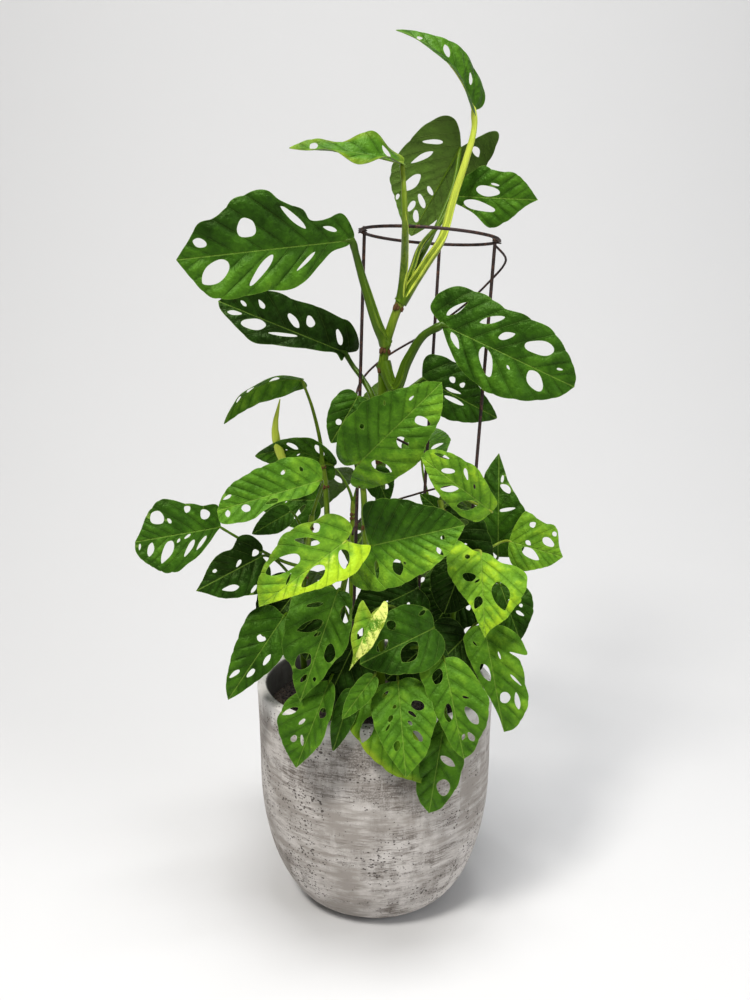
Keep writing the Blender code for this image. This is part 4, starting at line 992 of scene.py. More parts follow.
def lively(edge, stations, draw):
    """An edge that bulges between its side veins and wavers a little, as grown ones do."""
    edge = np.array(edge)
    bulge = abs(np.sin(np.pi * vein_phase(edge, stations))) ** 0.7 - 0.72
    waver = sum(np.sin((9 + 8 * k) * edge[:, 0] + draw.uniform(0, math.tau)) / (1 + k) for k in range(3))
    ends = np.clip(4 * edge[:, 0] * (1 - edge[:, 0]) + 0.1, 0, 1)
    edge[:, 1] *= 1 + SCALLOP * bulge + RAGGED * (waver - 0.6) * ends
    return [tuple(point) for point in edge.tolist()]


def outline(leaf, half, step, stations, draw):
    """A flat blade's edge, from its base up the left side to the tip and back, and the tip's place in it."""
    if leaf.edge:
        corners = [Vector(point) for point in ((0, 0), *leaf.edge, (0, 0))]
        tip = corners.index(Vector((1, 0)))
        steps = max(2, round(EDGE_RUN / step))
        left_edge = smooth_path(corners[:tip + 1], steps)
        right_edge = smooth_path(corners[tip:], steps)
    else:
        count = max(20, round(1.5 / step))
        shares = [0.5 - 0.5 * math.cos(math.pi * k / count) for k in range(count + 1)]
        left_edge = [margin_point(leaf, t, half * leaf.lean, leaf.belly[0]) for t in shares]
        right_edge = [margin_point(leaf, t, half, leaf.belly[1]) for t in shares[::-1]]
        right_edge = [(x, -y) for x, y in right_edge]
    left_edge, right_edge = (lively(*side, draw) for side in zip((left_edge, right_edge), stations))
    return left_edge + right_edge[1:-1], len(left_edge) - 1


def even_points(stations, side, step):
    """Points in even rows along one side's veins, in blade lengths."""
    rows = max(3, round(1 / (END_VEINS * step) * (stations[END_VEINS - 1] - stations[0])))
    phases = np.arange(0, len(stations) - 1, 1 / rows)
    feet = np.interp(phases, range(len(stations)), stations)
    t, y = np.meshgrid(feet, np.arange(FIRST_ROW, ROW_REACH / step) * step / ROW_STRETCH)
    x = t + (VEIN_SLANT + VEIN_TURN * t) * y + VEIN_BEND * y * y
    return np.column_stack([x.ravel(), side * y.ravel()])


def blade_net(rings, tip, stations, step):
    """A net of small triangles inside the first ring and outside the others: its points and its faces."""
    spread = np.concatenate([even_points(*side, step) for side in zip(stations, (1, -1))])
    spread = spread[within(spread, rings[0])]
    spread = spread[ring_distance(spread, rings) > EDGE_CLEAR * step]
    points = [point for ring in rings for point in ring]
    edges = []
    for first, ring in zip(np.cumsum([0] + [len(ring) for ring in rings]), rings):
        edges += [(first + k, first + (k + 1) % len(ring)) for k in range(len(ring))]
    rib = [(float(x), 0.0) for x in np.arange(step, 1 - 0.5 * step, step)]
    chain = [0, *range(len(points), len(points) + len(rib)), tip]
    edges += list(zip(chain, chain[1:]))
    points = [Vector(point) for point in (*points, *rib, *spread.tolist())]
    spots, _, triangles, *_ = delaunay_2d_cdt(points, edges, [], 1, 1e-7)
    spots, triangles = np.array([tuple(spot) for spot in spots]), np.array(triangles)
    middles = spots[triangles].mean(1)
    open_through = sum(within(middles, ring) for ring in rings[1:])
    kept = triangles[within(middles, rings[0]) & (open_through == 0)]
    used, faces = np.unique(kept, return_inverse=True)
    return spots[used], faces.reshape(-1, 3)


def flat_blade(leaf, name):
    """A flat blade as a mesh in blade lengths, with the attributes that its finish follows."""
    run = (leaf.tip - leaf.base).length
    half = leaf.width * MM / 2 / run
    step = GRID / run
    draw = random.Random(name)
    holes = hole_ends(leaf, half, draw)
    stations = []
    for side in (1, -1):
        stations.append(vein_stations(leaf, [hole for hole in holes if side * (hole[1] + hole[3]) > 0]))
    edge, tip = outline(leaf, half, step, stations, draw)
    rings = [edge] + [hole_ring(*hole, step, draw) for hole in holes]
    spots, faces = blade_net(rings, tip, stations, step)
    mesh = bpy.data.meshes.new(name)
    mesh.from_pydata([(x, y, 0) for x, y in spots], [], faces.tolist())
    phases = [vein_phase(spots, side) for side in stations]
    looks = {
        "lie": np.column_stack([spots * run, ring_distance(spots, rings) * run]),
        "veins": np.column_stack([*phases, ring_distance(spots, [edge]) * run]),
        "tone": np.tile((leaf.tone, leaf.gold, vein_pitch(leaf) * run), (len(spots), 1)),
    }
    # One half of the blade is made darker and the other lighter here: painted shade and painted light.
    looks["tone"][:, 0] += leaf.swing * np.clip(spots[:, 1] / half * 2, -1, 1)
    for label, values in looks.items():
        mesh.attributes.new(label, "FLOAT_VECTOR", "POINT").data.foreach_set("vector", values.ravel())
    return mesh


def vein_pitch(leaf):
    """The spacing of the side veins along the midrib, in blade lengths. A broad blade has more of them."""
    return 1 / (8 if leaf.width >= 60 else 7 if leaf.width >= 40 else 6)


def leaf_frame(leaf):
    """Unit vectors along the blade, to its left as seen, and towards the side that faces out."""
    run = leaf.tip - leaf.base
    forward = run.normalized()
    middle = leaf.base.lerp(leaf.tip, 0.5)
    face = leaf.face or EYE - middle
    normal = (face - forward * face.dot(forward)).normalized()
    return run.length, forward, normal.cross(forward), normal


def midrib_point(leaf, x, sunk=0.0):
    """A point of the shaped blade's midrib, let in by a distance under its upper face."""
    length, forward, left, normal = leaf_frame(leaf)
    bow = 4 * x * (1 - x)
    facing = -1 if leaf.under else 1
    turn = math.radians(leaf.roll)
    up = (normal * math.cos(turn) - left * math.sin(turn)) * facing
    lie = forward * x + left * (leaf.sweep * bow) + normal * (leaf.arch * bow * facing)
    return leaf.base + lie * length - up * sunk


def blade_form():
    """The rule that shapes a flat blade: arch, sweep, fold along the midrib, curl, waves and quilting."""
    sizes = "Length Half Width Roll Arch Sweep Fold Curl Wave Up Puff Uneven Pitch Thick".split()
    axes = dict.fromkeys(("Base", "Forward", "Left", "Normal"), Vector)
    form = Form("blade_form", **axes, **dict.fromkeys(sizes, float))
    size = {label: form.given(label) for label in sizes}
    x, y, _ = form.parts(form.position)
    lie = form.read("lie")
    edge = form.parts(lie)[2]
    left_phase, right_phase, _ = form.parts(form.read("veins"))
    share = y / size["Half"]
    lead = (y > 0) * LEFT_WAVE_LEAD
    wave = size["Wave"] * share * share * form.sine(x * WAVES + lead + size["Width"])
    lift = size["Fold"] * ((y * y + FOLD_ROUND ** 2) ** 0.5 - FOLD_ROUND)
    phase = right_phase + (left_phase - right_phase) * (y > 0)
    ridge = abs(form.sine(phase * math.pi)) ** PUFF_ROUND
    from_rib = abs(y) * size["Length"]
    rib_fade, edge_fade = form.between(from_rib, 0.0, 9 * MM), form.between(edge, -2 * MM, 6 * MM)
    puff = size["Puff"] * size["Pitch"] * ridge * rib_fade * edge_fade
    seed = form.node("ShaderNodeCombineXYZ", None, {2: size["Width"]})
    swell = form.noise(form.plus(lie, seed), 24.0, 2.0) - 0.5
    swell = swell * size["Uneven"] / size["Length"] * form.between(from_rib, 0.0, 6 * MM)
    height = lift - size["Curl"] * share * share * size["Half"] * 2 + wave + puff + swell
    height = height * size["Up"]
    bow = x * (1 - x) * 4
    turn = size["Roll"] * (math.pi / 180)
    cosine, sine = form.sine(turn + math.pi / 2), form.sine(turn)
    across = y * cosine - height * sine + size["Sweep"] * bow
    out = y * sine + height * cosine + size["Arch"] * bow * size["Up"]
    place = form.given("Base")
    for axis, reach in (("Forward", x), ("Left", across), ("Normal", out)):
        place = form.plus(place, form.times(form.given(axis), reach * size["Length"]))
    values = {"Geometry": form.given("Geometry"), "Position": place}
    sheet = form.node("GeometryNodeSetPosition", None, values)
    thick = size["Thick"] * (MARGIN_BLADE + (1 - MARGIN_BLADE) * form.between(edge, 0.0, 4 * MM))
    lower = form.swollen(sheet, thick * -0.5)
    values = {"Mesh": lower, "Offset Scale": thick, "Individual": False}
    upper = form.node("GeometryNodeExtrudeMesh", {"mode": "FACES"}, values)
    skins = []
    for skin, under in ((upper, (1 - size["Up"]) / 2), (lower, (1 + size["Up"]) / 2)):
        values = {"Geometry": skin, "Name": "under", "Value": under}
        settings = {"data_type": "FLOAT", "domain": "FACE"}
        skins.append(form.node("GeometryNodeStoreNamedAttribute", settings, values))
    both = form.joined(form.node("GeometryNodeFlipFaces", None, (skins[1],)), skins[0])
    closed = form.node("GeometryNodeMergeByDistance", None, {"Geometry": both, "Distance": 2e-5})
    form.end(form.node("GeometryNodeSetShadeSmooth", None, (closed,)))
    return form


def gathered():
    """A tree that gathers a collection's objects into one mesh."""
    form = Form("gathered", Collection=bpy.types.Collection)
    form.end(form.node("GeometryNodeCollectionInfo", None, {"Collection": form.given("Collection")}))
    return form


def blade_green():
    """Leaf green from dark to yellow-green: pale ribs and veins, a thin bright margin that is partly a
    painted highlight, a dull underside, and painted light and shade on the quilting.
    """
    paint = Paint("blade_green", 0.36, Specular_IOR_Level=0.22, Specular_Tint=BLADE_SHEEN)
    lie = paint.attribute("lie")
    _, across, edge = paint.parts(lie)
    left_phase, right_phase, rim = paint.parts(paint.attribute("veins"))
    tone, gold, pitch = paint.parts(paint.attribute("tone"))
    under = paint.attribute("under", 2)
    mottle = paint.noise(paint.place, 95.0, 3.0, 0.6)
    blotch = paint.between(paint.noise(paint.place, 52.0, 4.0, 0.62), 0.38, 0.62)
    cloud = paint.noise(paint.place, 24.0, 2.0)
    fine = paint.noise(lie, 900.0, 2.0, 0.6)
    phase = right_phase + (left_phase - right_phase) * (across > 0)
    beside = paint.sine(phase * math.pi)
    from_vein = abs(beside) * pitch / math.pi
    vein = 1 - paint.between(from_vein, 0.10 * MM, 0.55 * MM)
    rib = 1 - paint.between(abs(across), 0.25 * MM, 0.75 * MM)
    fade = paint.between(edge, 0.2 * MM, 6 * MM)
    ridge = paint.between(from_vein, 1.0 * MM, 4.5 * MM)
    shade = tone + (mottle - 0.5) * 0.50 + (blotch - 0.5) * 0.13 + (cloud - 0.5) * 0.48
    # Lighter over the middle of each ridge between the veins and darker near them: painted light and shade
    # of the quilting.
    shade = shade + (ridge - 0.6) * 0.06
    colour = paint.node("ShaderNodeValToRGB", {"stops": BLADE_STOPS}, (shade,))
    patch = gold * (mottle * 0.5 + cloud * 0.9)
    speckle = 0.7 + (fine - 0.5) * 0.5 + (mottle - 0.5) * 1.3
    flecks = paint.between(speckle, 0.58, 0.72) * (gold > 0.7) * (across > 0)
    beside_rib = 1 - paint.between(abs(across), 1.0 * MM, 9 * MM)
    flecks = flecks + paint.between(mottle, 0.50, 0.62) * beside_rib * (tone > 0.9) * 0.6
    band = (1 - paint.between(rim, 0.0, 7 * MM)) * paint.between(patch, 0.1, 0.45)
    colour = paint.mix(band * (0.8 - (gold > 0.7) * 0.55), colour, GOLD)
    colour = paint.mix(flecks * 0.85, colour, CREAM)
    # Darker along the side veins, where the quilted blade sinks: painted shade in the creases.
    crease_shade = (1 - paint.between(from_vein, 0.1 * MM, 2.0 * MM)) * fade * (mottle * 1.6 - 0.1)
    colour = paint.tinted(crease_shade * 0.68, colour, CREASE_SHADE_TINT)
    colour = paint.mix(vein * fade * 0.10, colour, VEIN_GREEN)
    colour = paint.mix(rib * 0.38, colour, RIB_GREEN)
    # The thin margin is mixed to a paler green: partly the blade's own edge colour, partly a painted
    # highlight where light catches the edge.
    margin_tint_and_glint = 1 - paint.between(edge, 0.10 * MM, 0.45 * MM)
    colour = paint.mix(margin_tint_and_glint * 0.45, colour, VEIN_GREEN)
    colour = paint.mix(under, colour, paint.mix(0.45, colour, UNDER_GREEN))
    paint.feed("Base Color", colour)
    paint.feed("Roughness", 0.42 + (mottle - 0.5) * 0.16 + under * 0.15 + vein * 0.05)
    puckers = mottle * 4.5 + fine * 0.2 + abs(beside) ** 0.8 * blotch * 0.8
    grooves = (0.6 - vein * 0.45 - rib * 0.5) * (1 - under)
    paint.relief(grooves + under * (vein + rib) * 0.8 + puckers, 0.6 * MM)
    return paint.material


def stalk_green():
    """Smooth green stalks, yellower on young growth, red-brown where the skin is scarred."""
    paint = Paint("stalk_green", 0.42, Specular_IOR_Level=0.35, Specular_Tint=STALK_SHEEN)
    tone, bark, _ = paint.parts(paint.attribute("tone"))
    streak = paint.noise(paint.scaled(paint.place, (330, 330, 36)), 1.0, 3.0, 0.6)
    mottle = paint.noise(paint.place, 60.0, 3.0)
    colour = paint.node("ShaderNodeValToRGB", {"stops": STALK_STOPS}, (tone + (streak - 0.5) * 0.3,))
    colour = paint.tinted(paint.between(mottle, 0.5, 0.75) * 0.4, colour, MOTTLE_TINT)
    scar = paint.between(bark + (mottle - 0.5) * 0.8 + (streak - 0.5) * 0.4, 0.30, 0.62)
    colour = paint.mix(scar * 0.9, colour, SCAR)
    paint.feed("Base Color", colour)
    paint.feed("Roughness", 0.36 + scar * 0.4)
    paint.relief(streak * 0.6 + scar * 0.4, 0.3 * MM)
    return paint.material


def cane_heading(cane, leaf):
    """The cane's direction where a leaf stands on it."""
    return (along(cane, min(leaf.root + 0.05, 1)) - along(cane, leaf.root - 0.05)).normalized()


def stalk_radius(leaf, share):
    first, last = leaf.stalk
    return (first + (last - first) * share) * MM


def stalk_tone(leaf):
    return 0.2 + 0.6 * leaf.tone if leaf.rind is None else leaf.rind


def petiole_path(cane, leaf):
    """From the cane to the blade's base."""
    root = along(cane, leaf.root)
    base = midrib_point(leaf, 0.01)
    if leaf.route:
        return smooth_path([root, *leaf.route, base], 10)
    length, forward, left, normal = leaf_frame(leaf)
    reach = (base - root).length
    first = root + cane_heading(cane, leaf) * (0.35 * reach)
    last = base - (normal * 0.8 + forward * 0.6).normalized() * (0.3 * reach)
    path = []
    for k in range(STALK_STEPS + 1):
        t = k / STALK_STEPS
        near, mid, far = root.lerp(first, t), first.lerp(last, t), last.lerp(base, t)
        path.append(near.lerp(mid, t).lerp(mid.lerp(far, t), t))
    return path


def stalk_line(cane, leaf):
    """A leaf's stalk, swollen at its foot and at the blade, and its rib on along the blade's underside."""
    points = petiole_path(cane, leaf)
    end = stalk_radius(leaf, 1)
    radii = []
    for k in range(len(points)):
        share = k / (len(points) - 1)
        foot = 0.30 * math.exp(-(share / 0.07) ** 2)
        knee = 0.20 * math.exp(-((share - 0.94) / 0.05) ** 2)
        radii.append(stalk_radius(leaf, share) * (1 + foot + knee))
    start = min(RIB * math.sqrt(leaf.width / 60), 0.8 * end)
    for k in range(1, RIB_STEPS + 1):
        x = 0.01 + 0.95 * k / RIB_STEPS
        radius = RIB_END + (start - RIB_END) * (1 - x) ** 1.2 + (end - start) * math.exp(-(x / 0.045) ** 2)
        points.append(midrib_point(leaf, x, 0.8 * radius * min(1, x / 0.07)))
        radii.append(radius)
    green = stalk_tone(leaf)
    tones = [(0.5 + (green - 0.5) * min(1, 2.4 * k / len(points)), 0.0) for k in range(len(points))]
    return points, radii, tones, False


def sheath_lines(cane, leaf):
    """The two raised edges of the sheath, which run up a long stalk on the side that faces the cane."""
    path = petiole_path(cane, leaf)
    inner_side = cane_heading(cane, leaf) + Vector((0, -0.5, 0))
    # The sheath's edges are paler than the stalk: partly their own colour, partly a painted highlight along
    # the raised edges.
    tone = min(stalk_tone(leaf) + SHEATH_PALER, 1.0)
    lines = []
    for side in (-1, 1):
        points, radii = [], []
        for k in range(SHEATH_STEPS + 1):
            share = SHEATH_END * k / SHEATH_STEPS
            place = along(path, share)
            run = (along(path, share + 0.02) - place).normalized()
            inner = (inner_side - run * inner_side.dot(run)).normalized()
            beside = run.cross(inner) * side
            thick = stalk_radius(leaf, share)
            points.append(place + (inner * 0.80 + beside * 0.60) * thick * 0.94)
            radii.append(thick * SHEATH_EDGE * (1 - (k / SHEATH_STEPS) ** 4) + 0.05 * MM)
        lines.append((points, radii, [(tone, 0.0)] * len(points), False))
    return lines


def cane_radius(stem, share):
    return stem.radius * MM * (1 - 0.3 * share)


def cane_line(stem, cane):
    """The cane, thinner towards its end, with a swollen, slightly browned ring at each leaf's foot."""
    radii, tones = [], []
    for k in range(len(cane)):
        share = k / (len(cane) - 1)
        ring = sum(math.exp(-((share - leaf.root) / 0.012) ** 2) for leaf in stem.leaves)
        radii.append(cane_radius(stem, share) * (1 + CANE_SWELL * min(ring, 1)))
        tones.append((0.39 + 0.2 * share, 0.35 * min(ring, 1)))
    return cane, radii, tones, False


def root_stubs(stem, cane):
    """Short red-brown root stubs that press through the cane's skin under the feet of the leaves."""
    lines, last = [], 2
    for leaf in stem.leaves:
        if abs(leaf.root - last) < STUB_SPACING:
            continue
        last = leaf.root
        foot = along(cane, leaf.root - STUB_DROP)
        heading = (along(cane, leaf.root) - foot).normalized()
        skin = cane_radius(stem, leaf.root)
        for turn, breadth in STUBS:
            size = breadth * stem.radius * MM
            out = Vector((math.sin(turn), -math.cos(turn), 0))
            out = (out - heading * out.dot(heading)).normalized()
            points = [
                foot + out * (skin - MM) + heading * size * 1.6,
                foot + out * (skin + 0.5 * size),
                foot + out * (skin + 1.1 * size) - heading * size * 1.8,
            ]
            lines.append((points, [0.8 * size, 1.35 * size, 0.7 * size], [(0.2, 1.5)] * 3, False))
    return lines


def spear_line(path, radius):
    """A young leaf, still rolled up, widest a third of the way up and drawn out to a point."""
    shares = [k / SPEAR_STEPS for k in range(SPEAR_STEPS + 1)]
    places = [k / (len(SPEAR_BELLIES) - 1) for k in range(len(SPEAR_BELLIES))]
    radii = [radius * MM * float(np.interp(share, places, SPEAR_BELLIES)) for share in shares]
    return [along(path, share) for share in shares], radii, [(0.85, 0.15)] * len(shares), False


blade_rule = blade_form()
gather = gathered()
leaf_paint = blade_green()
stalk_paint = stalk_green()


def shaped_blades(stem):
    """A stem's blades, each shaped by the blade rule from its flat form, gathered in one piece."""
    growth = bpy.data.collections.new(stem.name + "_growth")
    bpy.context.scene.collection.children.link(growth)
    for number, leaf in enumerate(stem.leaves):
        label = f"{stem.name}_{number}"
        flat = bpy.data.objects.new(label, flat_blade(leaf, label))
        growth.objects.link(flat)
        length, forward, left, normal = leaf_frame(leaf)
        blade_rule.use(
            flat, Base=leaf.base, Forward=forward, Left=left, Normal=normal, Length=length,
            Half=leaf.width * MM / 2 / length, Width=leaf.width, Roll=leaf.roll, Arch=leaf.arch,
            Sweep=leaf.sweep, Fold=leaf.fold, Curl=CURL, Wave=leaf.wave, Up=-1 if leaf.under else 1,
            Puff=PUFF, Uneven=UNEVEN, Pitch=vein_pitch(leaf), Thick=BLADE, Material=leaf_paint,
        )
    blades = add_object(stem.name + "_leaves", bpy.data.meshes.new(stem.name + "_leaves"))
    gather.use(blades, Collection=growth, Material=leaf_paint)
    settle(blades)
    blades.data.set_sharp_from_angle(angle=SHARP_ANGLE)
    for flat in list(growth.objects):
        bpy.data.objects.remove(flat, do_unlink=True)
    bpy.data.collections.remove(growth)
    return blades


def grow(stem):
    """Makes a stem's two pieces, its leaves and its stalks, which stand for the stem's solid."""
    cane = smooth_path(stem.cane, CANE_STEPS)
    blades = shaped_blades(stem)
    lines = [cane_line(stem, cane)]
    for leaf in stem.leaves:
        lines.append(stalk_line(cane, leaf))
        if leaf.stalk[0] > SHEATHED_STALK:
            lines += sheath_lines(cane, leaf)
    lines += root_stubs(stem, cane)
    lines += [spear_line(*spear) for spear in stem.extras]
    stalks = path_mesh(stem.name + "_stalks", lines)
    tubes.use(stalks, Sides=STALK_SIDES, Uneven=STALK_UNEVEN, Grain=STALK_GRAIN, Material=stalk_paint)
    settle(stalks)
    for piece in (blades, stalks):
        keep(piece, stem.name)


# The tall stem: a thick green cane that climbs inside the cage, with the plant's largest leaves.
# Old leaf scars ring it, and its long stalks part just under the hoop.
cane = [
    Vector((5, 14, 150)) * MM, Vector((5, 14, 196)) * MM, Vector((4, 10, 330)) * MM,
    at(382.5, 400, 2), at(384, 355, 0), at(392, 324, 0), at(402, 298, 0),
]
leaves = [
    Leaf(
        tone=0.4, swing=-0.12, gold=0.1, rind=0.98, base=at(474, 110, 0), tip=at(396, 30, -12), width=46,
        root=0.97, left=pierced(1, 2), right=pierced(2, 3),
        route=(at(424, 267, 0), at(442, 238, 0), at(453, 200, 0), at(466, 160, 0), at(474, 130, 0)),
        stalk=(4.6, 2.0), roll=66, fold=0.5, arch=0.10, sweep=-0.13, belly=(0.3, 0.25),
    ),
    Leaf(
        tone=0.52, gold=0.3, wave=0.07, rind=0.6, base=at(403, 163, -52), tip=at(289, 148, -66), width=36,
        root=0.98, left=pierced(3, 2), right=pierced(4, 2),
        route=(at(404, 262, -16), at(405, 225, -54), at(404, 190, -58)), stalk=(3.6, 1.6), roll=64,
        fold=0.45, arch=0.06, sweep=-0.03,
    ),
    Leaf(
        tone=0.3, rind=0.5,
        slits=(
            (0.5, -0.1, 0.55, -0.01, 0.04),
        ),
        base=at(461, 147, 46), tip=at(411, 236, 62), width=92, root=0.95,
        route=(at(415, 268, 8), at(430, 240, 22), at(452, 190, 34)), stalk=(2.8, 1.4), under=True,
        lean=0.6, belly=(0.2, 0.45), lobe=0.85,
        holes=(
            (-0.07, 0.11, 0, 0.2, 0.06), (0.05, -0.18, 0.15, -0.36, 0.039),
            (0.18, -0.22, 0.39, -0.36, 0.049), (0.44, -0.22, 0.65, -0.29, 0.09),
            (0.61, -0.14, 0.7, -0.02, 0.049), (0.69, -0.14, 0.81, -0.15, 0.05),
            (0.71, -0.32, 0.77, -0.31, 0.031), (0.76, -0.09, 0.86, -0.02, 0.05),
        ),
    ),
    Leaf(
        tone=0.42, rind=0.5, base=at(453, 196, 24), tip=at(538, 200, 8), width=48, root=0.93,
        route=(at(412, 270, 2), at(421, 246, 10), at(441, 222, 18)), stalk=(3.2, 1.6),
        edge=(
            (0.03, 0.11), (0.1, 0.21), (0.22, 0.28), (0.35, 0.35), (0.54, 0.31), (0.72, 0.3),
            (0.81, 0.23), (0.9, 0.13), (0.97, 0.04), (1, 0), (0.91, -0.05), (0.81, -0.13), (0.68, -0.25),
            (0.53, -0.33), (0.43, -0.32), (0.28, -0.2), (0.14, -0.13), (0.04, -0.08),
        ),
        holes=(
            (0.14, -0.06, 0.52, -0.14, 0.09), (0.28, 0.09, 0.56, 0.06, 0.1),
            (0.45, 0.16, 0.55, 0.14, 0.022),
        ),
    ),
    Leaf(
        tone=0.36, swing=0.12, rind=0.24, base=at(354, 240, -22), tip=at(176, 260, -62), width=98,
        root=0.72, route=(at(377, 325, -6), at(366, 290, -10), at(358, 262, -14)), stalk=(4.8, 2.6),
        arch=0.05, fold=0.2,
        edge=(
            (0.05, 0.03), (0.14, 0.05), (0.22, 0.11), (0.32, 0.19), (0.41, 0.22), (0.64, 0.24),
            (0.79, 0.24), (0.87, 0.2), (0.94, 0.1), (1, 0), (0.92, -0.1), (0.86, -0.18), (0.75, -0.21),
            (0.66, -0.29), (0.57, -0.31), (0.47, -0.3), (0.41, -0.25), (0.29, -0.2), (0.25, -0.14),
            (0.18, -0.13), (0.06, -0.15), (0, -0.05),
        ),
        holes=(
            (0.1, -0.06, 0.18, -0.09, 0.022), (0.24, 0.04, 0.36, 0.13, 0.016),
            (0.28, -0.09, 0.41, -0.22, 0.03), (0.48, 0.03, 0.63, 0.18, 0.037),
            (0.65, -0.09, 0.57, -0.16, 0.09), (0.73, 0.04, 0.88, 0.14, 0.09),
            (0.83, -0.06, 0.9, -0.09, 0.042),
        ),
    ),
    # This leaf stands in shade, and its very dark tone partly paints that shade.
    Leaf(
        tone=0.06, rind=0.1, base=at(346, 353, 28), tip=at(218, 301, -4), width=58, root=0.46,
        route=(at(372, 396, 10), at(362, 378, 20), at(353, 366, 26)), stalk=(3.0, 2.0), roll=12, fold=0.4,
        arch=0.07,
        edge=(
            (0.02, 0.07), (0.08, 0.03), (0.19, 0.06), (0.36, 0.1), (0.58, 0.16), (0.71, 0.18),
            (0.82, 0.14), (0.96, 0.06), (1, 0), (0.92, -0.11), (0.8, -0.17), (0.65, -0.21), (0.49, -0.21),
            (0.33, -0.22), (0.17, -0.22), (0.07, -0.21), (-0.04, -0.13), (-0.08, -0.05),
        ),
        holes=(
            (0.06, -0.04, 0.14, -0.13, 0.037), (0.32, -0.08, 0.38, -0.14, 0.05),
            (0.4, 0.02, 0.61, 0.08, 0.022), (0.41, -0.04, 0.52, -0.1, 0.041),
            (0.64, 0.03, 0.81, 0.09, 0.07), (0.69, -0.07, 0.75, -0.11, 0.027),
            (0.81, -0.04, 0.86, -0.06, 0.02), (0.82, 0.02, 0.92, 0.05, 0.029),
        ),
    ),
    Leaf(
        tone=0.35, swing=-0.05, rind=0.2,
        slits=(
            (0.53, -0.06, 0.56, -0.08, 0.013), (0.84, 0.06, 0.88, 0.07, 0.013),
        ),
        base=at(441, 324, -24), tip=at(574.4, 387, -48), width=70, root=0.62,
        route=(at(395, 390, -8), at(407, 362, -14), at(422, 337, -20)), stalk=(5.4, 3.0), arch=0.07,
        edge=(
            (-0.11, 0.06), (-0.12, 0.13), (-0.09, 0.2), (0.01, 0.28), (0.21, 0.31), (0.39, 0.27),
            (0.53, 0.29), (0.7, 0.28), (0.86, 0.19), (0.97, 0.08), (1, 0), (0.94, -0.1), (0.83, -0.18),
            (0.71, -0.24), (0.58, -0.26), (0.43, -0.28), (0.25, -0.22), (0.12, -0.12),
        ),
        holes=(
            (0.01, 0.07, 0.11, 0.21, 0.041), (0.09, -0.02, 0.19, -0.1, 0.034),
            (0.24, 0.12, 0.38, 0.22, 0.04), (0.33, -0.02, 0.46, -0.18, 0.07),
            (0.4, 0.08, 0.49, 0.15, 0.04), (0.58, 0.11, 0.77, 0.16, 0.08),
            (0.68, -0.03, 0.81, -0.12, 0.08),
        ),
    ),
    Leaf(
        tone=0.2, rind=0.25,
        slits=(
            (0.43, 0.12, 0.46, 0.18, 0.046),
        ),
        base=at(422, 378, 24), tip=at(497, 418, 24), width=44, root=0.5,
        route=(at(396, 400, 12), at(410, 388, 20)), stalk=(2.4, 1.4), lean=1.2, belly=(0.22, 0.4),
        holes=(
            (0.29, 0.03, 0.48, 0.05, 0.035), (0.3, 0.12, 0.33, 0.18, 0.07),
            (0.32, -0.06, 0.57, -0.05, 0.046),
        ),
    ),
]
grow(Stem("stem_tall", cane, 5.2, leaves))


# The left stem at the back: a shorter shoot with small young leaves, one folded along its rib,
# and one still rolled up like a spear.
cane = [
    Vector((-40, 46, 150)) * MM, Vector((-40, 46, 196)) * MM, Vector((-44, 50, 300)) * MM,
    at(326, 490, 50), at(322, 462, 48),
]
leaves = [
    Leaf(
        tone=0.6,
        slits=(
            (0.23, -0.15, 0.33, -0.02, 0.08),
        ),
        base=at(303, 380, 40), tip=at(224, 424, 30), width=34, root=0.98,
        route=(at(320, 440, 46), at(312, 407, 42)), stalk=(2.2, 1.2), roll=-56, fold=0.55, arch=0.1,
        sweep=-0.17,
        holes=(
            (0.53, -0.16, 0.59, -0.02, 0.08), (0.69, -0.12, 0.75, -0.02, 0.06),
        ),
    ),
    Leaf(
        tone=0.45, base=at(334, 466, 54), tip=at(255, 456, 52), width=46, root=0.96, left=pierced(13, 2),
        right=pierced(14, 3), roll=-40, fold=0.4, arch=0.12, sweep=-0.12,
    ),
    Leaf(
        tone=0.35, base=at(318, 500, 60), tip=at(256, 500, 74), width=52, root=0.8, left=pierced(15, 2),
        right=pierced(16, 2),
    ),
    Leaf(
        tone=0.35, base=around(128, 70, 330), tip=around(132, 140, 300), width=54, root=0.6,
        left=pierced(17, 2), right=pierced(18, 2), face=Vector((-0.5, 0.6, 0.9)),
    ),
]
rolled = smooth_path([at(300, 492, 48), at(282, 458, 44), at(275, 430, 42), at(280, 399, 40)], 3)
grow(Stem("stem_left_back", cane, 3.4, leaves, ((rolled, 4.2),)))


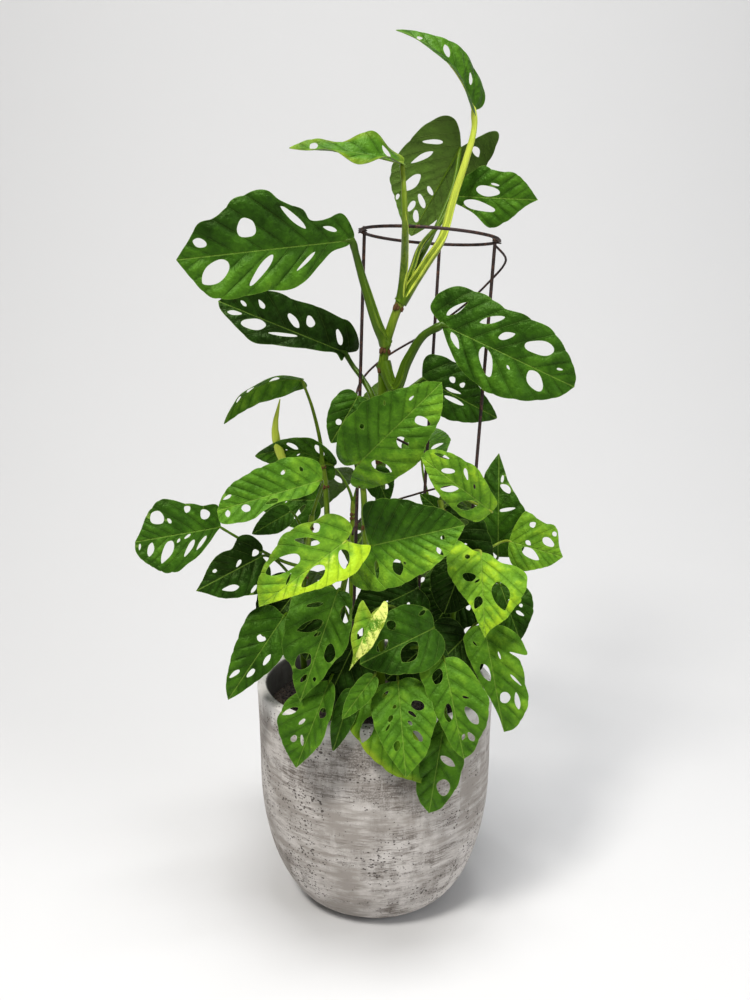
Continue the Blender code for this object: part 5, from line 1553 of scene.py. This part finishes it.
# The left stem: it leans out over the rim, with a broad leaf held far out on a long stalk.
# One narrow leaf hangs over the pot's side.
cane = [
    Vector((-62, -8, 150)) * MM, Vector((-62, -8, 196)) * MM, Vector((-66, -24, 260)) * MM,
    Vector((-60, -44, 330)) * MM, at(312, 515, -46),
]
leaves = [
    Leaf(
        tone=0.58,
        slits=(
            (0.17, -0.17, 0.16, -0.12, 0.029), (0.31, -0.18, 0.36, -0.15, 0.027),
            (0.84, -0.1, 0.92, -0.08, 0.025),
        ),
        base=at(322, 480, -56), tip=at(217, 511, -84), width=64, root=0.97, roll=16, fold=0.3,
        edge=(
            (0.12, 0.09), (0.27, 0.11), (0.46, 0.1), (0.62, 0.13), (0.73, 0.18), (0.87, 0.17), (1, 0.13),
            (1, 0), (0.92, -0.11), (0.81, -0.19), (0.67, -0.24), (0.52, -0.27), (0.32, -0.29),
            (0.14, -0.25), (0, -0.18), (-0.03, -0.09),
        ),
        holes=(
            (0.46, 0.06, 0.58, 0.07, 0.04), (0.72, 0.04, 0.79, 0.07, 0.07),
            (0.91, 0.02, 0.93, 0.09, 0.038),
        ),
    ),
    Leaf(
        tone=0.37,
        slits=(
            (0.38, 0.02, 0.46, 0.06, 0.023), (0.51, 0.05, 0.55, 0.09, 0.022),
            (0.58, -0.14, 0.61, -0.2, 0.033), (0.95, 0.03, 0.97, 0.1, 0.021),
        ),
        base=at(221, 527, -60), tip=at(135, 542, -88), width=65, root=0.75,
        route=(at(280, 560, -50), at(242, 540, -56)),
        edge=(
            (0.08, 0.06), (0.19, 0.17), (0.32, 0.27), (0.47, 0.34), (0.6, 0.42), (0.72, 0.42),
            (0.83, 0.35), (0.95, 0.23), (1.01, 0.11), (1, 0), (0.92, -0.12), (0.84, -0.27), (0.76, -0.36),
            (0.65, -0.44), (0.53, -0.4), (0.39, -0.34), (0.21, -0.29), (0.01, -0.27), (0, -0.14),
        ),
        holes=(
            (0.14, -0.13, 0.21, -0.23, 0.1), (0.2, 0.07, 0.35, 0.21, 0.035),
            (0.35, -0.24, 0.4, -0.3, 0.07), (0.35, 0.09, 0.5, 0.26, 0.045), (0.6, 0.06, 0.76, 0.29, 0.09),
            (0.67, -0.16, 0.77, -0.29, 0.13), (0.82, 0.04, 0.88, 0.19, 0.06),
        ),
    ),
    Leaf(
        tone=0.1,
        slits=(
            (0.25, 0.31, 0.37, 0.37, 0.041), (0.28, -0.09, 0.38, -0.03, 0.04),
            (0.63, -0.12, 0.69, -0.12, 0.04),
        ),
        base=at(262, 556, -66), tip=at(196, 591, -84), width=52, root=0.6,
        edge=(
            (-0.02, 0.2), (0.08, 0.36), (0.27, 0.44), (0.51, 0.37), (0.74, 0.25), (0.9, 0.09), (1, 0),
            (0.86, -0.09), (0.72, -0.2), (0.52, -0.29), (0.31, -0.3), (0.17, -0.38), (0.01, -0.33),
            (-0.07, -0.13),
        ),
        holes=(
            (0.01, -0.1, 0.12, -0.06, 0.07), (0.47, 0.22, 0.69, 0.15, 0.07),
        ),
    ),
    Leaf(
        tone=0.3, base=at(290, 512, -40), tip=at(252, 534, -52), width=22, root=0.8, fold=0.5,
    ),
    Leaf(
        tone=0.38, base=at(284, 616, -64), tip=at(228, 700, -84), width=54, root=0.3,
        edge=(
            (-0.01, 0.12), (0.15, 0.2), (0.36, 0.21), (0.54, 0.18), (0.7, 0.13), (0.86, 0.07), (1, 0),
            (0.91, -0.08), (0.76, -0.16), (0.59, -0.23), (0.4, -0.27), (0.24, -0.3), (0.08, -0.27),
            (-0.02, -0.16),
        ),
        holes=(
            (0.29, -0.02, 0.31, -0.11, 0.06), (0.38, 0.1, 0.51, 0.1, 0.04), (0.59, 0.05, 0.7, 0.03, 0.04),
            (0.68, -0.07, 0.8, -0.11, 0.036),
        ),
    ),
    # Near-black leaves that fill gaps in the crown: their darkness is painted shade.
    Leaf(
        tone=0, base=at(300, 586, -44), tip=at(262, 636, -58), width=54, root=0.6, arch=0.08,
    ),
    Leaf(
        tone=0, base=at(334, 598, -48), tip=at(306, 660, -54), width=56, root=0.5, lean=0.6,
    ),
]
grow(Stem("stem_left", cane, 3.4, leaves))


# The front left stem: its youngest leaf is bright yellow-green, and the older ones hang
# in steps down over the rim.
cane = [
    Vector((-38, -54, 150)) * MM, Vector((-38, -54, 196)) * MM, Vector((-36, -70, 260)) * MM,
    Vector((-26, -80, 326)) * MM, at(352, 560, -84),
]
leaves = [
    Leaf(
        tone=0.86, swing=0.24, gold=0.25,
        slits=(
            (0.6, -0.07, 0.7, -0.01, 0.018),
        ),
        base=at(346, 541, -112), tip=at(259, 607, -146), width=72, root=0.97, fold=0.22,
        edge=(
            (-0.08, 0.1), (-0.16, 0.18), (0.05, 0.27), (0.24, 0.27), (0.44, 0.22), (0.64, 0.14),
            (0.84, 0.06), (1, 0), (0.9, -0.17), (0.78, -0.26), (0.63, -0.33), (0.46, -0.37),
            (0.29, -0.38), (0.13, -0.33), (-0.03, -0.29), (-0.12, -0.19), (-0.13, -0.06),
        ),
        holes=(
            (0.07, 0.05, 0.19, 0.19, 0.09), (0.17, -0.22, 0.17, -0.31, 0.09),
            (0.22, -0.13, 0.4, -0.29, 0.06), (0.32, 0.06, 0.6, 0.09, 0.1),
            (0.45, -0.14, 0.78, -0.2, 0.12),
        ),
    ),
    Leaf(
        tone=0.46, gold=0.05,
        slits=(
            (0.39, -0.02, 0.44, -0.07, 0.025), (0.76, 0.05, 0.8, 0.06, 0.025),
        ),
        base=at(338, 590, -96), tip=at(300, 702, -128), width=66, root=0.7,
        edge=(
            (0, 0.1), (0.11, 0.17), (0.27, 0.21), (0.45, 0.22), (0.59, 0.17), (0.76, 0.12), (0.88, 0.05),
            (1, 0), (0.87, -0.1), (0.74, -0.16), (0.68, -0.25), (0.56, -0.32), (0.35, -0.35),
            (0.18, -0.35), (0.08, -0.27), (0, -0.12),
        ),
        holes=(
            (0.11, 0.1, 0.25, 0.15, 0.07), (0.15, -0.08, 0.22, -0.21, 0.034),
            (0.3, -0.03, 0.44, -0.22, 0.08), (0.45, 0.09, 0.61, 0.12, 0.08),
            (0.59, -0.05, 0.74, -0.12, 0.11), (0.76, -0.02, 0.84, -0.05, 0.034),
        ),
    ),
    Leaf(
        tone=0.52,
        slits=(
            (0.47, -0.09, 0.55, -0.13, 0.03),
        ),
        base=at(330, 680, -112), tip=at(296, 768, -132), width=54, root=0.3, roll=26, fold=0.5,
        edge=(
            (0.04, 0.1), (0.16, 0.17), (0.3, 0.21), (0.45, 0.22), (0.6, 0.21), (0.75, 0.15), (0.9, 0.06),
            (1, 0), (0.92, -0.1), (0.8, -0.22), (0.63, -0.34), (0.49, -0.37), (0.34, -0.32), (0.2, -0.23),
            (0.07, -0.11),
        ),
        holes=(
            (0.28, 0.08, 0.4, 0.07, 0.1), (0.39, -0.19, 0.52, -0.32, 0.05),
            (0.64, -0.07, 0.75, -0.02, 0.03), (0.67, -0.12, 0.75, -0.14, 0.05),
        ),
    ),
    Leaf(
        tone=0.3, base=at(352, 690, -104), tip=at(333, 751, -116), width=20, root=0.35, fold=0.3,
    ),
    Leaf(
        tone=0.62, base=at(374, 676, -126), tip=at(342, 719, -136), width=18, root=0.4, fold=0.5,
    ),
    # A near-black leaf that fills a gap in the crown: its darkness is painted shade.
    Leaf(
        tone=0.02, base=at(358, 636, -84), tip=at(322, 712, -98), width=56, root=0.5, arch=0.08,
    ),
]
grow(Stem("stem_front_left", cane, 3.2, leaves))


# The centre stem: a mid-green leaf stands up against the cane, over a broad one that is
# half folded.
cane = [
    Vector((-8, -36, 150)) * MM, Vector((-8, -36, 196)) * MM, Vector((-8, -42, 300)) * MM,
    at(364, 500, -46), at(360, 482, -46),
]
leaves = [
    Leaf(
        tone=0.57, swing=-0.11,
        slits=(
            (0.29, 0.22, 0.27, 0.17, 0.036), (0.55, 0.19, 0.58, 0.22, 0.016),
            (0.72, 0.08, 0.77, 0.08, 0.016),
        ),
        base=at(358, 464, -54), tip=at(442, 382, -72), width=69, root=0.98, fold=0.2,
        edge=(
            (-0.1, 0.07), (-0.08, 0.18), (0.03, 0.26), (0.15, 0.33), (0.29, 0.35), (0.46, 0.33),
            (0.61, 0.27), (0.76, 0.18), (0.91, 0.1), (1, 0), (0.93, -0.09), (0.83, -0.18), (0.71, -0.24),
            (0.52, -0.31), (0.41, -0.34), (0.2, -0.31), (0.01, -0.26), (-0.14, -0.17), (-0.19, -0.08),
            (-0.09, -0.02),
        ),
        holes=(
            (0.11, -0.07, 0.19, -0.24, 0.08), (0.43, -0.07, 0.44, -0.19, 0.08),
            (0.65, -0.06, 0.71, -0.18, 0.06),
        ),
    ),
    Leaf(
        tone=0.45, swing=-0.28,
        slits=(
            (0.35, -0.22, 0.37, -0.25, 0.022), (0.77, -0.09, 0.79, -0.05, 0.039),
        ),
        base=at(370, 546, -92), tip=at(465, 525, -116), width=76, root=0.7, fold=0.3,
        edge=(
            (0, 0.13), (0.02, 0.31), (0.08, 0.42), (0.25, 0.43), (0.47, 0.38), (0.69, 0.29), (0.86, 0.18),
            (0.95, 0.08), (1, 0), (0.94, -0.09), (0.81, -0.24), (0.65, -0.32), (0.4, -0.41),
            (0.18, -0.46), (-0.09, -0.43), (-0.28, -0.35), (-0.3, -0.25), (-0.14, -0.14),
        ),
        holes=(
            (0.05, -0.15, 0.04, -0.33, 0.048), (0.27, -0.18, 0.29, -0.34, 0.1),
            (0.7, -0.15, 0.76, -0.24, 0.036),
        ),
    ),
    Leaf(
        tone=0.35, base=at(358, 396, -46), tip=at(331, 443, -50), width=34, root=0.97,
        left=(
            (0.3, 0.2, 0.7, 0.2),
        ),
        right=(
            (0.5, 0.2, 0.6, 0.1),
        ),
        route=(at(355, 455, -44), at(361, 422, -42)),
    ),
    Leaf(
        tone=0.3, base=at(374, 470, -30), tip=at(388, 503, -34), width=26, root=0.95,
        left=(
            (0.4, 0.2, 0.7, 0.14),
        ),
    ),
    # A very dark leaf that fills a gap in the crown: its darkness is painted shade.
    Leaf(
        tone=0.08, base=at(418, 588, -48), tip=at(352, 620, -58), width=62, root=0.5, left=pierced(33, 2),
        right=pierced(34, 2), arch=0.08,
    ),
]
grow(Stem("stem_centre", cane, 3.4, leaves))


# The front stem: leaves that hang over the rim, one edged in yellow, and a small curled one
# flecked with cream.
cane = [
    Vector((18, -66, 150)) * MM, Vector((18, -66, 196)) * MM, Vector((20, -78, 255)) * MM,
    Vector((20, -86, 300)) * MM,
]
leaves = [
    Leaf(
        tone=0.56,
        slits=(
            (0.1, -0.11, 0.17, -0.18, 0.032), (0.26, -0.04, 0.29, -0.08, 0.031),
            (0.33, 0.08, 0.4, 0.16, 0.031), (0.36, -0.09, 0.43, -0.13, 0.041),
            (0.43, 0.07, 0.48, 0.11, 0.031), (0.45, -0.12, 0.52, -0.17, 0.021),
        ),
        base=at(398, 681, -112), tip=at(406, 778, -150), width=47, root=0.5, arch=0.09,
        edge=(
            (-0.03, 0.11), (0.01, 0.22), (0.11, 0.31), (0.28, 0.35), (0.46, 0.35), (0.63, 0.3),
            (0.79, 0.23), (0.89, 0.12), (1, 0), (0.83, -0.12), (0.66, -0.21), (0.51, -0.27),
            (0.35, -0.31), (0.18, -0.31), (0.05, -0.23), (0.01, -0.11),
        ),
        holes=(
            (0.25, 0.12, 0.31, 0.25, 0.09), (0.54, 0.11, 0.65, 0.2, 0.07),
            (0.62, -0.05, 0.73, -0.08, 0.06),
        ),
    ),
    Leaf(
        tone=0.7, gold=0.3, base=at(366, 690, -100), tip=at(434, 787, -122), width=60, root=0.4,
        edge=(
            (0.07, 0.09), (0.23, 0.14), (0.45, 0.13), (0.69, 0.11), (0.86, 0.06), (1, 0), (0.81, -0.14),
            (0.68, -0.23), (0.54, -0.28), (0.38, -0.31), (0.24, -0.31), (0.12, -0.29), (0.06, -0.26),
            (0.03, -0.1),
        ),
        holes=(
            (0.2, -0.09, 0.33, -0.28, 0.09),
        ),
    ),
    Leaf(
        tone=0.5, base=at(446, 712, -110), tip=at(429, 813, -124), width=36, root=0.45,
        edge=(
            (0.13, 0.14), (0.28, 0.21), (0.45, 0.25), (0.61, 0.23), (0.77, 0.18), (0.92, 0.11), (1, 0),
            (0.89, -0.11), (0.72, -0.18), (0.54, -0.18), (0.3, -0.13), (0.1, -0.07),
        ),
        holes=(
            (0.41, 0.02, 0.48, 0.17, 0.06), (0.62, 0.09, 0.79, 0.1, 0.11),
        ),
    ),
    Leaf(
        tone=0.72, gold=1, base=at(372, 616, -132), tip=at(349, 671, -146), width=32, root=0.98, fold=0.3,
        edge=(
            (-0.17, 0.06), (-0.31, 0.09), (-0.29, 0.17), (-0.08, 0.24), (0.17, 0.24), (0.4, 0.22),
            (0.59, 0.16), (0.77, 0.07), (1, 0), (0.73, -0.04), (0.51, -0.17), (0.26, -0.24),
            (0.01, -0.27), (-0.18, -0.26), (-0.11, -0.14),
        ),
        holes=(
            (0.24, -0.06, 0.46, -0.07, 0.08),
        ),
    ),
    Leaf(
        tone=0.3, base=at(434, 628, -106), tip=at(360, 664, -122), width=56, root=0.9,
        holes=(
            (0.05, -0.2, 0.06, -0.25, 0.09), (0.27, 0.06, 0.54, 0.2, 0.17),
            (0.41, -0.27, 0.52, -0.24, 0.11), (0.58, -0.12, 0.75, -0.04, 0.1),
        ),
    ),
    Leaf(
        tone=0.55,
        slits=(
            (0.39, 0.1, 0.42, 0.17, 0.019), (0.75, 0.05, 0.81, 0.02, 0.028),
        ),
        base=at(444, 658, -112), tip=at(464, 759, -134), width=44, root=0.7,
        edge=(
            (0.01, 0.11), (0.09, 0.2), (0.25, 0.29), (0.37, 0.34), (0.52, 0.34), (0.68, 0.29),
            (0.81, 0.2), (0.94, 0.11), (1, 0), (0.89, -0.08), (0.74, -0.13), (0.57, -0.17), (0.41, -0.21),
            (0.26, -0.25), (0.08, -0.26), (0.02, -0.14),
        ),
        holes=(
            (0.09, -0.06, 0.23, -0.13, 0.09), (0.43, -0.05, 0.61, -0.07, 0.07),
            (0.49, 0.11, 0.68, 0.2, 0.08), (0.74, 0.09, 0.84, 0.13, 0.049),
        ),
    ),
    # Near-black leaves that fill gaps in the crown: their darkness is painted shade.
    Leaf(
        tone=0.02, base=at(466, 636, -62), tip=at(416, 686, -88), width=60, root=0.6, arch=0.08,
    ),
    Leaf(
        tone=0, base=at(432, 640, -80), tip=at(386, 680, -92), width=56, root=0.85, arch=0.08,
    ),
]
grow(Stem("stem_front", cane, 3.2, leaves))


# The right stem: bright young leaves in front and darker ones behind, down to the rim.
cane = [
    Vector((60, -46, 150)) * MM, Vector((60, -46, 196)) * MM, Vector((68, -44, 280)) * MM,
    Vector((66, -36, 340)) * MM, at(440, 500, -24),
]
leaves = [
    Leaf(
        tone=0.78, gold=0.15,
        slits=(
            (0.38, -0.12, 0.33, -0.08, 0.022), (0.92, -0.12, 0.76, -0.17, 0.032),
        ),
        base=at(492, 512, -82), tip=at(421, 457, -88), width=44, root=0.98,
        edge=(
            (0.07, 0.18), (0.23, 0.24), (0.42, 0.23), (0.6, 0.2), (0.75, 0.15), (0.88, 0.08), (1, 0),
            (0.99, -0.1), (0.91, -0.17), (0.78, -0.23), (0.63, -0.27), (0.46, -0.28), (0.34, -0.24),
            (0.2, -0.18), (0.02, -0.11),
        ),
        holes=(
            (0.38, 0.18, 0.19, 0.02, 0.09), (0.57, -0.19, 0.46, -0.11, 0.033),
            (0.64, 0.14, 0.48, 0.02, 0.06), (0.75, -0.02, 0.63, -0.1, 0.05),
        ),
    ),
    Leaf(
        tone=0.3, base=at(498, 557, 10), tip=at(499, 453, 26), width=40, root=0.6,
        edge=(
            (0.07, 0.07), (0.21, 0.18), (0.37, 0.21), (0.55, 0.17), (0.75, 0.15), (0.89, 0.08), (1, 0),
            (0.86, -0.05), (0.72, -0.1), (0.58, -0.18), (0.46, -0.25), (0.27, -0.27), (0.09, -0.25),
            (0.01, -0.16),
        ),
        holes=(
            (0.45, -0.01, 0.48, -0.16, 0.029), (0.64, -0.05, 0.69, -0.09, 0.1),
            (0.79, -0.04, 0.72, -0.03, 0.024),
        ),
    ),
    Leaf(
        tone=0.75,
        slits=(
            (0.29, 0.09, 0.4, 0.04, 0.07), (0.71, 0.38, 0.78, 0.32, 0.07),
        ),
        base=at(509, 541, -8), tip=at(563, 557, -20), width=50, root=0.55,
        edge=(
            (0.02, 0.27), (0.14, 0.6), (0.43, 0.52), (0.68, 0.52), (0.79, 0.4), (0.88, 0.17), (1, 0),
            (0.84, -0.2), (0.64, -0.35), (0.41, -0.44), (0.19, -0.39), (0.05, -0.21),
        ),
        holes=(
            (0.26, -0.05, 0.61, -0.17, 0.14), (0.29, 0.36, 0.37, 0.45, 0.09),
            (0.57, 0.22, 0.79, 0.14, 0.12),
        ),
    ),
    Leaf(
        tone=0.77, gold=0.1,
        slits=(
            (0.05, -0.13, 0.06, -0.19, 0.049), (0.33, -0.03, 0.37, -0.09, 0.023),
        ),
        base=at(481, 552, -74), tip=at(485, 638, -104), width=57, root=0.65,
        edge=(
            (0.04, 0.11), (0.14, 0.22), (0.19, 0.38), (0.29, 0.5), (0.44, 0.52), (0.59, 0.46),
            (0.68, 0.35), (0.8, 0.25), (0.91, 0.07), (1, 0), (0.86, -0.06), (0.72, -0.11), (0.57, -0.19),
            (0.43, -0.31), (0.28, -0.38), (0.09, -0.4), (-0.1, -0.36), (-0.15, -0.25), (-0.03, -0.1),
        ),
        holes=(
            (0.25, -0.14, 0.35, -0.16, 0.13), (0.37, 0.17, 0.7, 0.24, 0.17),
            (0.53, -0.03, 0.67, -0.1, 0.08),
        ),
    ),
    Leaf(
        tone=0.3,
        slits=(
            (0.29, 0.04, 0.36, 0.07, 0.05), (0.42, 0.2, 0.48, 0.22, 0.05),
        ),
        base=at(500, 584, -30), tip=at(520, 640, -44), width=46, root=0.5,
        holes=(
            (0.41, -0.08, 0.53, -0.05, 0.07), (0.51, 0.1, 0.63, 0.2, 0.05),
        ),
    ),
    Leaf(
        tone=0.63, gold=0.12,
        slits=(
            (0.13, -0.13, 0.18, -0.1, 0.014), (0.26, 0.08, 0.33, 0.09, 0.014),
            (0.48, 0.15, 0.6, 0.23, 0.018),
        ),
        base=at(484, 624, -72), tip=at(504, 732, -94), width=40, root=0.35,
        edge=(
            (0.04, 0.16), (0.13, 0.27), (0.23, 0.32), (0.33, 0.32), (0.28, 0.18), (0.37, 0.26),
            (0.5, 0.28), (0.66, 0.29), (0.78, 0.26), (0.89, 0.19), (0.98, 0.1), (1, 0), (0.85, -0.02),
            (0.71, -0.06), (0.56, -0.11), (0.4, -0.16), (0.24, -0.2), (0.09, -0.21), (0.01, -0.11),
        ),
        holes=(
            (0.34, -0.09, 0.51, -0.04, 0.07), (0.63, 0.08, 0.73, 0.05, 0.08),
            (0.65, 0.17, 0.81, 0.17, 0.041),
        ),
    ),
    Leaf(
        tone=0.4, base=at(442, 512, 0), tip=at(420, 494, 4), width=16, root=0.95,
    ),
    # Near-black leaves that fill gaps in the crown: their darkness is painted shade.
    Leaf(
        tone=0.02, base=at(463, 580, -33), tip=at(429, 635, -42), width=61, root=0.45,
        left=pierced(49, 2), right=pierced(50, 2), arch=0.06,
    ),
    Leaf(
        tone=0.04, base=at(438, 520, -20), tip=at(492, 575, -38), width=58, root=0.75,
        left=pierced(71, 2), right=pierced(72, 2), arch=0.08,
    ),
    Leaf(
        tone=0, base=at(462, 566, -60), tip=at(444, 614, -66), width=46, root=0.6,
    ),
]
grow(Stem("stem_right", cane, 3.4, leaves))


# The stems at the back: grown like those in front, on the side away from the view.
left = Stem(
    "stem_back_left",
    [around(108, 72, 150), around(108, 72, 196), around(106, 84, 290), around(104, 88, 360)],
    3.2,
    [
        Leaf(
            tone=0.35, base=around(112, 104, 390), tip=around(118, 150, 330), width=60, root=0.97,
            left=pierced(51, 3), right=pierced(52, 2), face=Vector((-0.4, 1, 0.5)),
        ),
        Leaf(
            tone=0.45, base=around(92, 112, 330), tip=around(96, 150, 262), width=58, root=0.7,
            left=pierced(53, 2), right=pierced(54, 3), face=Vector((0, 1, 0.5)),
        ),
        Leaf(
            tone=0.4, base=around(122, 108, 286), tip=around(124, 140, 216), width=54, root=0.45,
            left=pierced(55, 2), right=pierced(56, 2), face=Vector((-0.5, 1, 0.4)),
        ),
        Leaf(
            tone=0.5, base=around(90, 92, 420), tip=around(84, 110, 478), width=48, root=0.95,
            left=pierced(57, 2), right=pierced(58, 2), face=Vector((0, 1, 0.2)),
        ),
    ],
)
right = Stem(
    "stem_back_right",
    [around(48, 76, 150), around(48, 76, 196), around(50, 86, 280), around(52, 90, 340)],
    3.2,
    [
        Leaf(
            tone=0.4, base=around(44, 112, 366), tip=around(38, 150, 306), width=60, root=0.97,
            left=pierced(61, 2), right=pierced(62, 3), face=Vector((0.7, 1, 0.5)),
        ),
        Leaf(
            tone=0.35, base=around(66, 116, 300), tip=around(66, 150, 232), width=56, root=0.6,
            left=pierced(63, 3), right=pierced(64, 2), face=Vector((0.3, 1, 0.4)),
        ),
        Leaf(
            tone=0.5, base=around(28, 112, 292), tip=around(22, 142, 224), width=52, root=0.4,
            left=pierced(65, 2), right=pierced(66, 2), face=Vector((1, 0.6, 0.4)),
        ),
        Leaf(
            tone=0.55, base=around(64, 104, 400), tip=around(66, 146, 424), width=50, root=0.98,
            left=pierced(67, 2), right=pierced(68, 2), face=Vector((0.2, 0.6, 1)),
        ),
    ],
)
grow(left)
grow(right)
